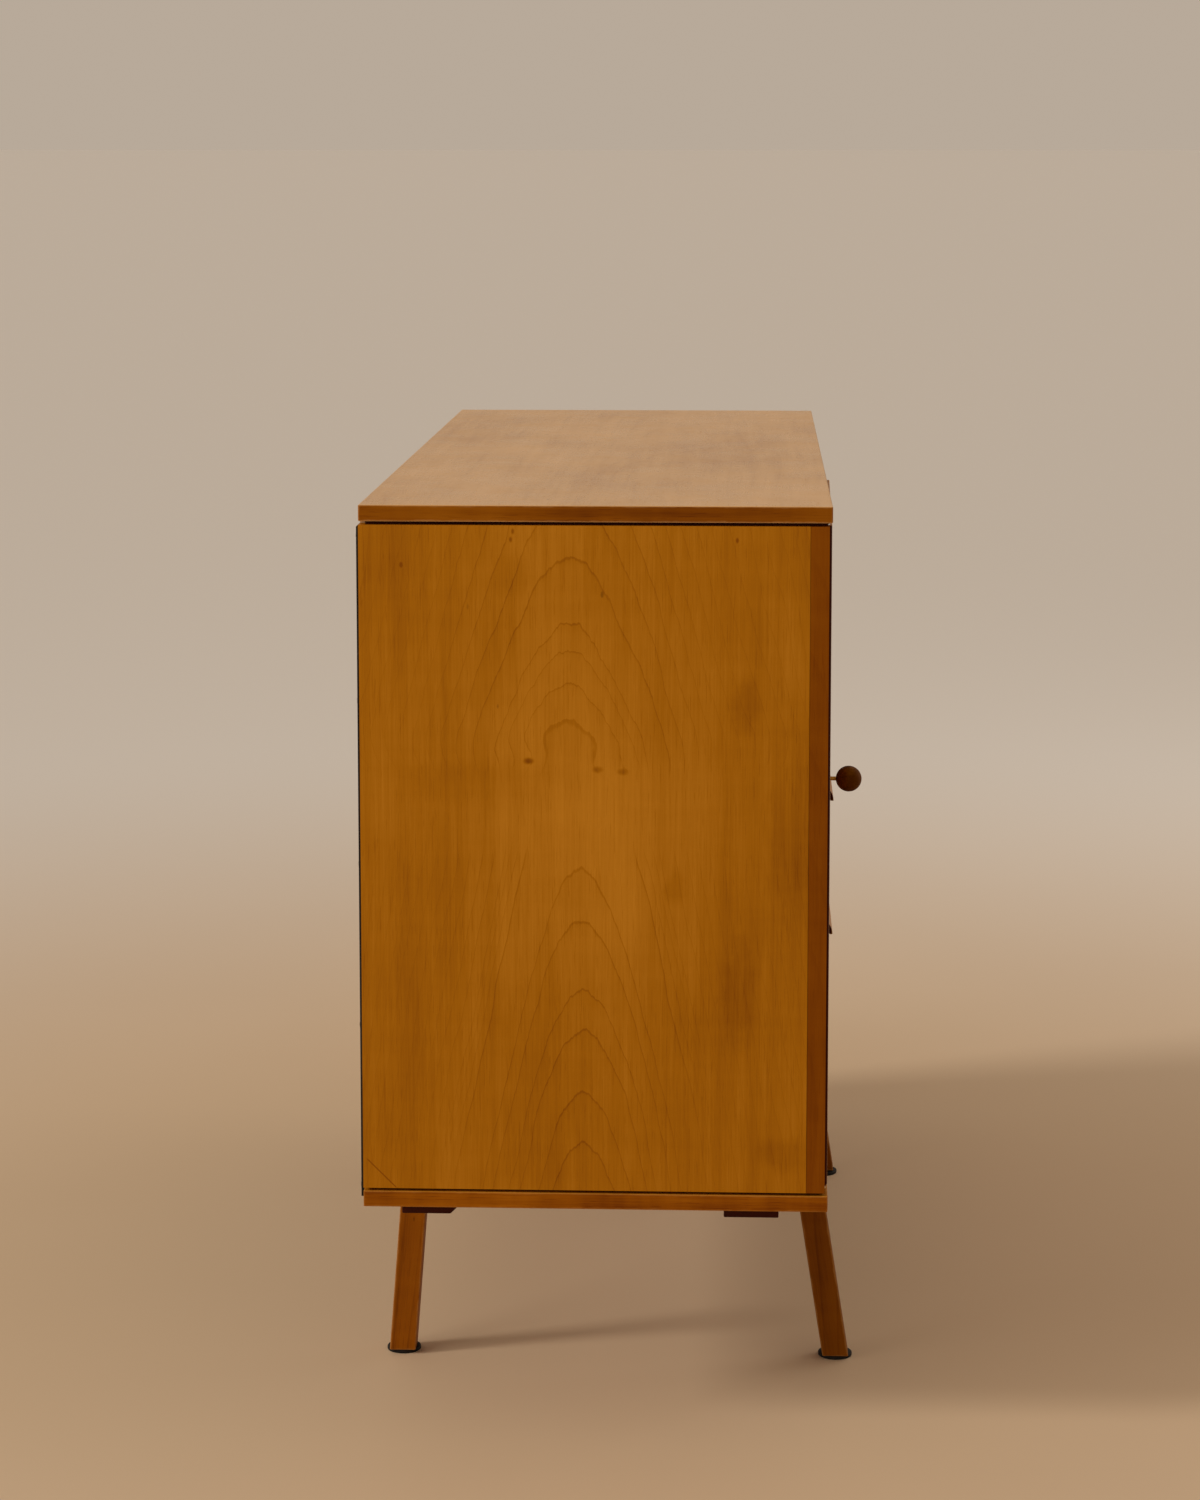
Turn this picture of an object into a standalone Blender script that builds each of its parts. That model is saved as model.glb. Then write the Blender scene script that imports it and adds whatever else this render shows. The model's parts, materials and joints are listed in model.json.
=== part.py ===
"""Console television cabinet: a long maple cabinet on four raked legs.

The left of its front is a full-height door on pivots, which stands slightly ajar. The right holds a
built-in television set above two drawers with full-width lip pulls. A thin vented cover closes the rear.

The cabinet's own frame has +Z up, the front towards -Y and the floor at Z = 0. Its Y = 0 plane is the
middle of the top board. The whole cabinet hangs under one empty, which moves it along Y so that the
middle of its bounding box is at the origin.
"""

import math

import bmesh
import bpy
from mathutils import Matrix, Vector

# ---------------------------------------------------------------- driving dimensions, metres
LENGTH = 1.219  # end to end, along X
DEPTH = 0.457  # of the top and base boards, along Y
HEIGHT = 0.938  # floor to the top surface
LEG_HEIGHT = 0.242  # floor to the underside of the base board

BOARD = 0.016  # thickness of the top and base boards
PANEL = 0.018  # thickness of the case panels, the door and the drawer fronts
TOP_REVEAL = 0.0034  # dark line between the top board and the end panels
BASE_REVEAL = 0.003  # dark line between the end panels and the base board
FRONT_PROUD = 0.003  # the door and the boards stand this far in front of the end panels
GAP = 0.0003  # between pieces that touch
DOOR_GAP = 0.0005  # between a closed front and the case edges behind it
JOINT_LINE = 0.002  # between neighbouring fronts
SOFT_EDGE = 0.0008  # bevel on the arrises of the boards

DOOR_SHARE = 0.4  # of the length, from the left end to the door's free edge
DOOR_AJAR = 0.9  # degrees that the door stands open at rest
DOOR_SIDE_GAP = 0.0015  # between the door's hung edge and the left panel
DOOR_END_GAP = 0.0012  # above and below the door

TV_BAY = 0.340  # height of the television's front
UPPER_FRONT = 0.149  # height of the upper drawer's front
DRAWER_DEPTH = 0.405  # drawer sides, front to back

LEG = 0.0275  # side of the square leg
LEG_INSET = 0.257  # from the cabinet's end to the leg's outer face
REAR_LEG_TOP, REAR_LEG_FOOT = 0.1984, 0.2170  # Y of the rear leg's middle, top and bottom
FRONT_LEG_TOP, FRONT_LEG_FOOT = -0.2067, -0.2442
GLIDE = 0.004  # thickness of the pad under each foot
GLIDE_RADIUS = 0.018
GLIDE_OFFSET = 0.005  # the pads sit off centre, towards the cabinet's middle

BATTEN = 0.024  # thickness of the two long rails under the base board
BATTEN_INSET = 0.057  # from the cabinet's end to the batten's end
REAR_BATTEN = (0.1385, 0.1962)  # Y of its two faces
FRONT_BATTEN = (-0.1811, -0.1263)
BATTEN_CHAMFER = 0.009  # on the rear batten's lower front arris
LEG_RAIL = 0.050  # height of the cross rails that join each pair of legs

BALL_RADIUS = 0.0142
BALL_STANDOFF = 0.0235  # door face to the ball's middle
KNOB_SHARE = 0.37  # of the length, from the left end
KNOB_HEIGHT = 0.592

# ---------------------------------------------------------------- planes that follow from them
LEFT, RIGHT = -LENGTH / 2, LENGTH / 2
BOARD_FRONT, BOARD_REAR = -DEPTH / 2, DEPTH / 2
SIDE_FRONT = BOARD_FRONT + FRONT_PROUD
FRONT_BACK = BOARD_FRONT + PANEL  # rear face of the closed door and drawer fronts
CASE_FRONT = FRONT_BACK + DOOR_GAP
INNER_LEFT, INNER_RIGHT = LEFT + PANEL, RIGHT - PANEL

TOP_UNDERSIDE = HEIGHT - BOARD
BASE_TOP = LEG_HEIGHT + BOARD
SIDE_TOP = TOP_UNDERSIDE - TOP_REVEAL
SIDE_BOTTOM = BASE_TOP + BASE_REVEAL
CEILING = TOP_UNDERSIDE - GAP - PANEL  # underside of the case top
FLOOR = BASE_TOP + GAP + PANEL  # upper face of the case bottom

DOOR_LEFT = INNER_LEFT + DOOR_SIDE_GAP
DOOR_RIGHT = LEFT + DOOR_SHARE * LENGTH
DOOR_AXIS_X = DOOR_LEFT + PANEL / 2  # the hung edge is rounded about the pivots
DOOR_AXIS_Y = BOARD_FRONT + PANEL / 2
DOOR_TOP, DOOR_BOTTOM = SIDE_TOP - DOOR_END_GAP, SIDE_BOTTOM + DOOR_END_GAP

FRONTS_LEFT = DOOR_RIGHT + JOINT_LINE
FRONTS_RIGHT = INNER_RIGHT - DOOR_SIDE_GAP
DIVIDER = (DOOR_RIGHT - 0.008, DOOR_RIGHT + 0.010)
TV_BOTTOM = SIDE_TOP - TV_BAY
UPPER_TOP = TV_BOTTOM - JOINT_LINE
UPPER_BOTTOM = UPPER_TOP - UPPER_FRONT
LOWER_TOP = UPPER_BOTTOM - JOINT_LINE
TV_SHELF = (TV_BOTTOM - 0.010, TV_BOTTOM + 0.008)

LEG_X = RIGHT - LEG_INSET - LEG / 2
LEG_TOP_Z = LEG_HEIGHT - GAP
LEG_FOOT_Z = GLIDE + GAP
BATTEN_TOP = LEG_HEIGHT - GAP
BATTEN_BOTTOM = BATTEN_TOP - BATTEN

FACING_FRONT = (math.pi / 2, 0.0, 0.0)  # turns a piece's own +Z towards the front


def knob_front():
    """Y of the ball's foremost point with the door ajar, in the cabinet's frame."""
    along = LEFT + KNOB_SHARE * LENGTH - DOOR_AXIS_X
    out = PANEL / 2 + BALL_STANDOFF
    ajar = math.radians(DOOR_AJAR)
    return DOOR_AXIS_Y - along * math.sin(ajar) - out * math.cos(ajar) - BALL_RADIUS


MIDDLE_Y = (knob_front() + REAR_LEG_FOOT + GLIDE_RADIUS) / 2


# ---------------------------------------------------------------- finishes
FINISHES = {  # name: colour, roughness, metallic
    "top_maple": ((0.46, 0.28, 0.14), 0.38, 0.0),
    "end_maple": ((0.30, 0.12, 0.015), 0.40, 0.0),
    "red_maple": ((0.17, 0.045, 0.005), 0.40, 0.0),
    "front_maple": ((0.24, 0.09, 0.012), 0.40, 0.0),
    "leg_maple": ((0.19, 0.06, 0.006), 0.42, 0.0),
    "dark_rail": ((0.040, 0.007, 0.002), 0.55, 0.0),
    "drawer_wood": ((0.50, 0.34, 0.19), 0.60, 0.0),
    "plywood": ((0.40, 0.24, 0.11), 0.65, 0.0),
    "black_board": ((0.012, 0.010, 0.009), 0.75, 0.0),
    "bakelite": ((0.020, 0.010, 0.006), 0.30, 0.0),
    "aged_brass": ((0.16, 0.065, 0.012), 0.38, 0.9),
    "brass": ((0.55, 0.36, 0.12), 0.32, 1.0),
    "steel": ((0.42, 0.41, 0.39), 0.40, 1.0),
    "dark_steel": ((0.06, 0.06, 0.06), 0.45, 0.8),
    "glide": ((0.010, 0.009, 0.009), 0.55, 0.0),
    "mask": ((0.10, 0.065, 0.035), 0.45, 0.0),
    "clear_glass": ((0.06, 0.07, 0.07), 0.05, 0.0),
    "tube_glass": ((0.035, 0.045, 0.042), 0.12, 0.0),
    "grille": ((0.26, 0.11, 0.02), 0.45, 0.0),
    "knob_plastic": ((0.045, 0.018, 0.008), 0.28, 0.0),
}


def finish(name):
    """The Principled material of this name, made once."""
    found = bpy.data.materials.get(name)
    if found:
        return found
    colour, roughness, metallic = FINISHES[name]
    made = bpy.data.materials.new(name)
    made.use_nodes = True
    shader = made.node_tree.nodes["Principled BSDF"]
    shader.inputs["Base Color"].default_value = (*colour, 1.0)
    shader.inputs["Roughness"].default_value = roughness
    shader.inputs["Metallic"].default_value = metallic
    return made


# ---------------------------------------------------------------- making shapes
def clear_scene():
    for obj in list(bpy.data.objects):
        bpy.data.objects.remove(obj, do_unlink=True)


def collection(name):
    """The collection of this name, linked to the scene."""
    found = bpy.data.collections.get(name)
    if not found:
        found = bpy.data.collections.new(name)
        bpy.context.scene.collection.children.link(found)
    return found


def put(name, data, look, parent, location=(0, 0, 0), rotation=(0, 0, 0)):
    """An object of the cabinet, in its parent's frame."""
    obj = bpy.data.objects.new(name, data)
    collection("console_television_cabinet").objects.link(obj)
    obj.parent = parent
    obj.location = location
    obj.rotation_euler = rotation
    data.materials.append(finish(look))
    return obj


def empty(name, location, parent=None):
    obj = bpy.data.objects.new(name, None)
    collection("console_television_cabinet").objects.link(obj)
    obj.parent = parent
    obj.location = location
    obj.empty_display_size = 0.05
    return obj


def block_mesh(name, size):
    """A box mesh of this size about its middle."""
    mesh = bpy.data.meshes.new(name)
    shape = bmesh.new()
    bmesh.ops.create_cube(shape, size=1.0, matrix=Matrix.Diagonal((*size, 1.0)))
    shape.to_mesh(mesh)
    shape.free()
    return mesh


def span(x, y, z):
    """Size and middle of the box between two X, two Y and two Z planes."""
    size = Vector((x[1] - x[0], y[1] - y[0], z[1] - z[0]))
    middle = Vector((x[0] + x[1], y[0] + y[1], z[0] + z[1])) / 2
    return size, middle


def box(name, x, y, z, look, parent, bevel=0.0):
    """A block between two X, two Y and two Z planes of its parent's frame."""
    size, middle = span(x, y, z)
    obj = put(name, block_mesh(name, size), look, parent, middle)
    if bevel:
        soften(obj, bevel)
    return obj


def soften(obj, width):
    edge = obj.modifiers.new("soft_edges", "BEVEL")
    edge.width = width
    edge.segments = 1
    edge.limit_method = "ANGLE"


def cut(obj, x, y, z, parent, tilt=0.0):
    """Takes a block out of obj, between planes of the parent's frame, tilted about X by an angle."""
    size, middle = span(x, y, z)
    name = f"cut_{obj.name}_{len(obj.modifiers)}"
    cutter = bpy.data.objects.new(name, block_mesh(name, size))
    collection("cutters").objects.link(cutter)
    cutter.parent = parent
    cutter.location = middle
    cutter.rotation_euler.x = tilt
    cutter.hide_render = True
    cutter.display_type = "WIRE"
    taken = obj.modifiers.new(name, "BOOLEAN")
    taken.operation = "DIFFERENCE"
    taken.solver = "EXACT"
    taken.object = cutter


def rectangle(width, height, middle=(0, 0)):
    corners = ((1, 1), (-1, 1), (-1, -1), (1, -1))
    return [(middle[0] + sx * width / 2, middle[1] + sy * height / 2) for sx, sy in corners]


def rounded_rectangle(width, height, radius, middle=(0, 0), steps=5):
    points = []
    for quarter, (sx, sy) in enumerate(((1, 1), (-1, 1), (-1, -1), (1, -1))):
        centre_x = middle[0] + sx * (width / 2 - radius)
        centre_y = middle[1] + sy * (height / 2 - radius)
        for step in range(steps + 1):
            angle = math.pi / 2 * (quarter + step / steps)
            points.append((centre_x + radius * math.cos(angle), centre_y + radius * math.sin(angle)))
    return points


def circle(radius, middle=(0, 0), steps=16):
    turn = 2 * math.pi / steps
    return [
        (middle[0] + radius * math.cos(turn * i), middle[1] + radius * math.sin(turn * i))
        for i in range(steps)
    ]


def plate(name, outlines, thickness, look, parent, location, rotation=(0, 0, 0)):
    """A flat outline with any holes as further outlines, thickened both ways along its own Z."""
    curve = bpy.data.curves.new(name, "CURVE")
    curve.dimensions = "2D"
    curve.fill_mode = "BOTH"
    curve.extrude = thickness / 2
    for points in outlines:
        spline = curve.splines.new("POLY")
        spline.points.add(len(points) - 1)
        for point, (x, y) in zip(spline.points, points):
            point.co = (x, y, 0, 1)
        spline.use_cyclic_u = True
    return put(name, curve, look, parent, location, rotation)


def turned(name, profile, look, parent, location, rotation=(0, 0, 0), ring=False, steps=24):
    """A turned piece: (radius, height) points down its outer side, closed back up inside for a ring."""
    mesh = bpy.data.meshes.new(name)
    edges = [(i, i + 1) for i in range(len(profile) - 1)]
    if ring:
        edges.append((len(profile) - 1, 0))
    mesh.from_pydata([(radius, 0, height) for radius, height in profile], edges, [])
    obj = put(name, mesh, look, parent, location, rotation)
    turn = obj.modifiers.new("turn", "SCREW")
    turn.axis = "Z"
    turn.steps = turn.render_steps = steps
    turn.use_merge_vertices = True
    turn.merge_threshold = 0.00001
    turn.use_smooth_shade = True
    return obj


def loft(name, rings, look, parent, location, rotation=(0, 0, 0)):
    """A closed skin over rings that all have the same number of points."""
    mesh = bpy.data.meshes.new(name)
    shape = bmesh.new()
    rows = [[shape.verts.new(point) for point in ring] for ring in rings]
    count = len(rows[0])
    for upper, lower in zip(rows, rows[1:]):
        for i in range(count):
            j = (i + 1) % count
            shape.faces.new((upper[i], upper[j], lower[j], lower[i]))
    shape.faces.new(rows[0])
    shape.faces.new(rows[-1])
    bmesh.ops.recalc_face_normals(shape, faces=shape.faces)
    shape.to_mesh(mesh)
    shape.free()
    mesh.shade_smooth()
    return put(name, mesh, look, parent, location, rotation)


# ---------------------------------------------------------------- case
def build_boards(cabinet):
    depth = (BOARD_FRONT, BOARD_REAR)
    box("top_board", (LEFT, RIGHT), depth, (TOP_UNDERSIDE, HEIGHT), "top_maple", cabinet, SOFT_EDGE)
    box("base_board", (LEFT, RIGHT), depth, (LEG_HEIGHT, BASE_TOP), "end_maple", cabinet, SOFT_EDGE)


def build_end(side, outer, inner, cabinet):
    """An end panel and the solid lipping on its front edge."""
    x = (min(outer, inner), max(outer, inner))
    height = (SIDE_BOTTOM, SIDE_TOP)
    lipping_back = SIDE_FRONT + PANEL
    box(f"{side}_side_lipping", x, (SIDE_FRONT, lipping_back), height, "red_maple", cabinet)
    box(f"{side}_side_panel", x, (lipping_back + GAP, BOARD_REAR), height, "end_maple", cabinet)


def build_case(cabinet):
    """The panels between the ends. The top and bottom ones stand proud of them and make the reveals."""
    across = (INNER_LEFT + GAP, INNER_RIGHT - GAP)
    depth = (CASE_FRONT, BOARD_REAR)
    box("case_top", across, depth, (CEILING, CEILING + PANEL), "plywood", cabinet)
    box("case_bottom", across, depth, (FLOOR - PANEL, FLOOR), "plywood", cabinet)
    box("divider_panel", DIVIDER, depth, (FLOOR + GAP, CEILING - GAP), "plywood", cabinet)
    right_bay = (DIVIDER[1] + GAP, INNER_RIGHT - GAP)
    box("tv_shelf", right_bay, depth, TV_SHELF, "plywood", cabinet)
    left_bay = (INNER_LEFT + GAP, DIVIDER[0] - GAP)
    shelf_z = (KNOB_HEIGHT - PANEL / 2, KNOB_HEIGHT + PANEL / 2)
    shelf_y = (CASE_FRONT + 0.006, BOARD_REAR - 0.003)
    box("fixed_shelf", left_bay, shelf_y, shelf_z, "plywood", cabinet)


def build_rear(cabinet):
    """The thin cover screwed over the rear, with vents behind the set and the mains inlet."""
    thickness, inset = 0.003, 0.012
    low, high = LEG_HEIGHT + 0.007, SIDE_TOP - 0.003
    height, middle_z = high - low, (low + high) / 2
    inlet_width, inlet_height, inlet_depth = 0.032, 0.024, 0.024
    inlet_x, inlet_z = 0.500, 0.640
    outlines = [rectangle(LENGTH - 2 * inset, height)]
    slot_width, slot_height, slot_pitch, slots = 0.008, 0.070, 0.034, 13
    first_x = 0.020
    for row_z in (0.840, 0.735):
        for i in range(slots):
            middle = (first_x + i * slot_pitch, row_z - middle_z)
            outlines.append(rounded_rectangle(slot_width, slot_height, slot_width / 2 - 0.0005, middle, 3))
    outlines.append(rectangle(inlet_width, inlet_height, (inlet_x, inlet_z - middle_z)))
    cover_y = BOARD_REAR + GAP + thickness / 2
    plate("rear_cover", outlines, thickness, "black_board", cabinet, (0, cover_y, middle_z), FACING_FRONT)
    half_width, half_height = inlet_width / 2 - GAP, inlet_height / 2 - GAP
    face = cover_y + thickness / 2
    x, z = (inlet_x - half_width, inlet_x + half_width), (inlet_z - half_height, inlet_z + half_height)
    inlet = box("mains_inlet", x, (face - inlet_depth, face), z, "bakelite", cabinet)
    wall, floor = 0.004, 0.006
    cut(
        inlet,
        (x[0] + wall, x[1] - wall),
        (face - inlet_depth + floor, face + 0.005),
        (z[0] + wall, z[1] - wall),
        cabinet,
    )


# ---------------------------------------------------------------- stand
def leg_middle(top_y, foot_y, z):
    """Y of a leg's middle at a height."""
    share = (LEG_TOP_Z - z) / (LEG_TOP_Z - LEG_FOOT_Z)
    return top_y + (foot_y - top_y) * share


def build_leg(name, x, top_y, foot_y, cabinet):
    """A square leg that leans along Y, cut level at both ends, and the pad under it."""
    length = LEG_TOP_Z - LEG_FOOT_Z
    mesh = block_mesh(name, (LEG, LEG, length))
    for vertex in mesh.vertices:
        vertex.co.y += (top_y - foot_y) * vertex.co.z / length
    middle = (x, (top_y + foot_y) / 2, (LEG_TOP_Z + LEG_FOOT_Z) / 2)
    soften(put(name, mesh, "leg_maple", cabinet, middle), 0.001)
    glide_x = x - math.copysign(GLIDE_OFFSET, x)
    profile = ((0, GLIDE), (GLIDE_RADIUS, GLIDE), (GLIDE_RADIUS, 0), (0, 0))
    turned(name.replace("leg", "glide"), profile, "glide", cabinet, (glide_x, foot_y, 0))


def build_leg_rail(name, x, cabinet):
    """A cross rail between a front and a rear leg, notched over the two battens."""
    low = BATTEN_TOP - LEG_RAIL
    shoulder = BATTEN_BOTTOM - GAP
    reach = LEG / 2 + 2 * GAP

    def rear_face(z):
        return leg_middle(REAR_LEG_TOP, REAR_LEG_FOOT, z) - reach

    def front_face(z):
        return leg_middle(FRONT_LEG_TOP, FRONT_LEG_FOOT, z) + reach

    outline = [
        (front_face(low), low),
        (rear_face(low), low),
        (rear_face(shoulder), shoulder),
        (REAR_BATTEN[0] - GAP, shoulder),
        (REAR_BATTEN[0] - GAP, BATTEN_TOP),
        (FRONT_BATTEN[1] + GAP, BATTEN_TOP),
        (FRONT_BATTEN[1] + GAP, shoulder),
        (FRONT_BATTEN[0] - GAP, shoulder),
        (FRONT_BATTEN[0] - GAP, BATTEN_TOP),
        (front_face(BATTEN_TOP), BATTEN_TOP),
    ]
    upright = (math.pi / 2, 0, math.pi / 2)  # the outline's X becomes Y, its Y becomes Z
    plate(name, [outline], LEG, "leg_maple", cabinet, (x, 0, 0), upright)


def chamfer_batten(batten, cabinet):
    """Cuts the lower front arris at 45 degrees, with a tilted block whose one face is the chamfer."""
    block = 0.04
    along = (BATTEN_CHAMFER / math.sqrt(2) - block / 2) / math.sqrt(2)
    y, z = REAR_BATTEN[0] + along, BATTEN_BOTTOM + along
    half = block / 2
    cut(batten, (LEFT, RIGHT), (y - half, y + half), (z - half, z + half), cabinet, math.pi / 4)


def build_stand(cabinet):
    across = (LEFT + BATTEN_INSET, RIGHT - BATTEN_INSET)
    height = (BATTEN_BOTTOM, BATTEN_TOP)
    rear = box("rear_batten", across, REAR_BATTEN, height, "dark_rail", cabinet)
    chamfer_batten(rear, cabinet)
    box("front_batten", across, FRONT_BATTEN, height, "dark_rail", cabinet)
    for side, x in (("left", -LEG_X), ("right", LEG_X)):
        build_leg(f"{side}_rear_leg", x, REAR_LEG_TOP, REAR_LEG_FOOT, cabinet)
        build_leg(f"{side}_front_leg", x, FRONT_LEG_TOP, FRONT_LEG_FOOT, cabinet)
        build_leg_rail(f"{side}_leg_rail", x, cabinet)
        half = LEG / 2 + GAP
        housing = (REAR_LEG_TOP - half, REAR_BATTEN[1] + 0.01)
        cut(rear, (x - half, x + half), housing, (BATTEN_BOTTOM - 0.01, BATTEN_TOP + 0.01), cabinet)


# ---------------------------------------------------------------- door
def build_door(cabinet):
    """The door hangs on its pivot axis, and everything on it is placed from there."""
    axis = empty("door_axis", (DOOR_AXIS_X, DOOR_AXIS_Y, 0), cabinet)
    axis.rotation_euler.z = -math.radians(DOOR_AJAR)
    half = PANEL / 2
    reach = DOOR_RIGHT - DOOR_AXIS_X
    arc = [math.radians(90 + 180 * i / 10) for i in range(11)]
    outline = [(half * math.cos(a), half * math.sin(a)) for a in arc]
    outline += [(reach, -half), (reach, half)]
    middle_z = (DOOR_TOP + DOOR_BOTTOM) / 2
    plate("door_panel", [outline], DOOR_TOP - DOOR_BOTTOM, "front_maple", axis, (0, 0, middle_z))
    build_door_knob(axis)
    build_pivot("upper", DOOR_TOP, TOP_UNDERSIDE, axis, cabinet)
    build_pivot("lower", DOOR_BOTTOM, BASE_TOP, axis, cabinet)
    build_catch(axis, cabinet)


def build_door_knob(axis):
    """A ball on a thin stem with a small foot, turned in one piece."""
    stem, foot_radius, foot = 0.0022, 0.0045, 0.0015
    seat = math.asin(stem / BALL_RADIUS)
    angles = [i * (math.pi - seat) / 12 for i in range(13)]
    ball = [(BALL_RADIUS * math.sin(a), BALL_RADIUS * math.cos(a)) for a in angles]
    base = GAP - BALL_STANDOFF
    shank = [(stem, base + foot), (foot_radius, base + foot), (foot_radius, base), (0, base)]
    place = (LEFT + KNOB_SHARE * LENGTH - DOOR_AXIS_X, -PANEL / 2 - BALL_STANDOFF, KNOB_HEIGHT)
    turned("door_knob", ball + shank, "aged_brass", axis, place, FACING_FRONT)


def build_pivot(end, door_edge, board_face, axis, cabinet):
    """A flanged pin on the door's end, in a bush ring on the board above or below it."""
    away = 1 if board_face > door_edge else -1
    pin, pin_clearance, flange, flange_radius = 0.003, 0.0004, 0.0012, 0.007
    room = abs(board_face - door_edge)
    pin_profile = [
        (0, room - GAP),
        (pin, room - GAP),
        (pin, GAP + flange),
        (flange_radius, GAP + flange),
        (flange_radius, GAP),
        (0, GAP),
    ]
    flip = (0, 0, 0) if away > 0 else (math.pi, 0, 0)
    turned(f"{end}_pivot_pin", pin_profile, "steel", axis, (0, 0, door_edge), flip)
    bore = pin + pin_clearance
    bush_low = GAP + flange + DOOR_GAP
    bush = [(0.008, room - GAP), (0.008, bush_low), (bore, bush_low), (bore, room - GAP)]
    place = (DOOR_AXIS_X, DOOR_AXIS_Y, door_edge)
    turned(f"{end}_pivot_bush", bush, "brass", cabinet, place, flip, ring=True)


def build_catch(axis, cabinet):
    """A magnetic catch on the divider and its steel plate on the door."""
    catch_width, catch_depth, catch_z = 0.014, 0.022, (0.700, 0.745)
    strike = 0.0012
    front = CASE_FRONT + 0.002
    catch_x = (DIVIDER[0] - GAP - catch_width, DIVIDER[0] - GAP)
    box("door_catch", catch_x, (front, front + catch_depth), catch_z, "dark_steel", cabinet)
    strike_x = (catch_x[0] - DOOR_AXIS_X, catch_x[1] - DOOR_AXIS_X)
    back = PANEL / 2 + GAP
    box("door_strike", strike_x, (back, back + strike), catch_z, "steel", axis)


# ---------------------------------------------------------------- drawers
def pull_profile(reach=0.0146, drop=0.017, root=0.008, tip=0.0036, steps=7):
    """Section of a lip pull, as (out from the face, down from its top): two quarter ellipses."""
    quarter = [math.pi / 2 * i / steps for i in range(steps + 1)]
    outer = [(reach * math.sin(a), drop * (1 - math.cos(a))) for a in quarter]
    inner = [((reach - tip) * math.sin(a), drop - (drop - root) * math.cos(a)) for a in quarter]
    return outer + inner[::-1]


def build_drawer(name, top, bottom, side_bottom, cabinet):
    """A drawer about an empty on the middle of its front, which is its slide's origin."""
    middle = (FRONTS_LEFT + FRONTS_RIGHT) / 2
    slide = empty(f"{name}_slide", (middle, BOARD_FRONT, 0), cabinet)
    half = (FRONTS_RIGHT - FRONTS_LEFT) / 2
    box(f"{name}_front", (-half, half), (0, PANEL), (bottom, top), "front_maple", slide)

    outline = [(-out - GAP, -down) for out, down in pull_profile()]
    along = (math.pi / 2, 0, math.pi / 2)
    plate(f"{name}_pull", [outline], 2 * half, "front_maple", slide, (0, 0, top), along)

    wall, back_wall, floor, groove = 0.012, 0.010, 0.004, 0.005
    play = 0.002  # each side of the drawer, to the panels
    left = DIVIDER[1] + play - middle
    right = INNER_RIGHT - play - middle
    side_top = top - 0.024
    side_y = (PANEL + GAP, PANEL + GAP + DRAWER_DEPTH)
    floor_z = (side_bottom + 0.006, side_bottom + 0.006 + floor)
    floor_x = (left + wall - groove + GAP, right - wall + groove - GAP)
    sides = {"left": (left, left + wall), "right": (right - wall, right)}
    for side, x in sides.items():
        panel = box(f"{name}_{side}_side", x, side_y, (side_bottom, side_top), "drawer_wood", slide)
        groove_x = (floor_x[0] - GAP, floor_x[1] + GAP)
        groove_z = (floor_z[0] - GAP, floor_z[1] + GAP)
        cut(panel, groove_x, (side_y[0] - 0.01, side_y[1] + 0.01), groove_z, slide)
    inside = (left + wall + GAP, right - wall - GAP)
    back_z = (floor_z[1] + GAP, side_top - 0.004)
    box(f"{name}_back", inside, (side_y[1] - back_wall, side_y[1]), back_z, "drawer_wood", slide)
    box(f"{name}_bottom", floor_x, side_y, floor_z, "plywood", slide)

    runner_height, runner_width = 0.010, 0.014
    runner_z = (side_bottom - DOOR_GAP - runner_height, side_bottom - DOOR_GAP)
    runner_y = (CASE_FRONT + 0.004, BOARD_REAR - 0.010)
    left_x = (DIVIDER[1] + GAP, DIVIDER[1] + GAP + runner_width)
    right_x = (INNER_RIGHT - GAP - runner_width, INNER_RIGHT - GAP)
    box(f"{name}_left_runner", left_x, runner_y, runner_z, "drawer_wood", cabinet)
    box(f"{name}_right_runner", right_x, runner_y, runner_z, "drawer_wood", cabinet)


def build_drawers(cabinet):
    runner = 0.010 + GAP + DOOR_GAP
    build_drawer("lower_drawer", LOWER_TOP, DOOR_BOTTOM, FLOOR + runner, cabinet)
    build_drawer("upper_drawer", UPPER_TOP, UPPER_BOTTOM, UPPER_BOTTOM + 0.010, cabinet)


# ---------------------------------------------------------------- television
SCREEN_WIDTH, SCREEN_HEIGHT, SCREEN_CORNER = 0.394, 0.300, 0.030
SCREEN_X = FRONTS_LEFT + 0.030 + SCREEN_WIDTH / 2
TV_MIDDLE_Z = (TV_BOTTOM + DOOR_TOP) / 2
GRILLE_WIDTH, GRILLE_HEIGHT, GRILLE_CORNER = 0.222, 0.158, 0.010
GRILLE_X = SCREEN_X + SCREEN_WIDTH / 2 + 0.030 + GRILLE_WIDTH / 2
GRILLE_Z = TV_MIDDLE_Z + (SCREEN_HEIGHT - GRILLE_HEIGHT) / 2
CONTROL_Z = TV_MIDDLE_Z - 0.085
CHANNEL_X, VOLUME_X = GRILLE_X - 0.050, GRILLE_X + 0.055
SHAFT_RADIUS, SHAFT_HOLE = 0.003, 0.0045


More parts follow.
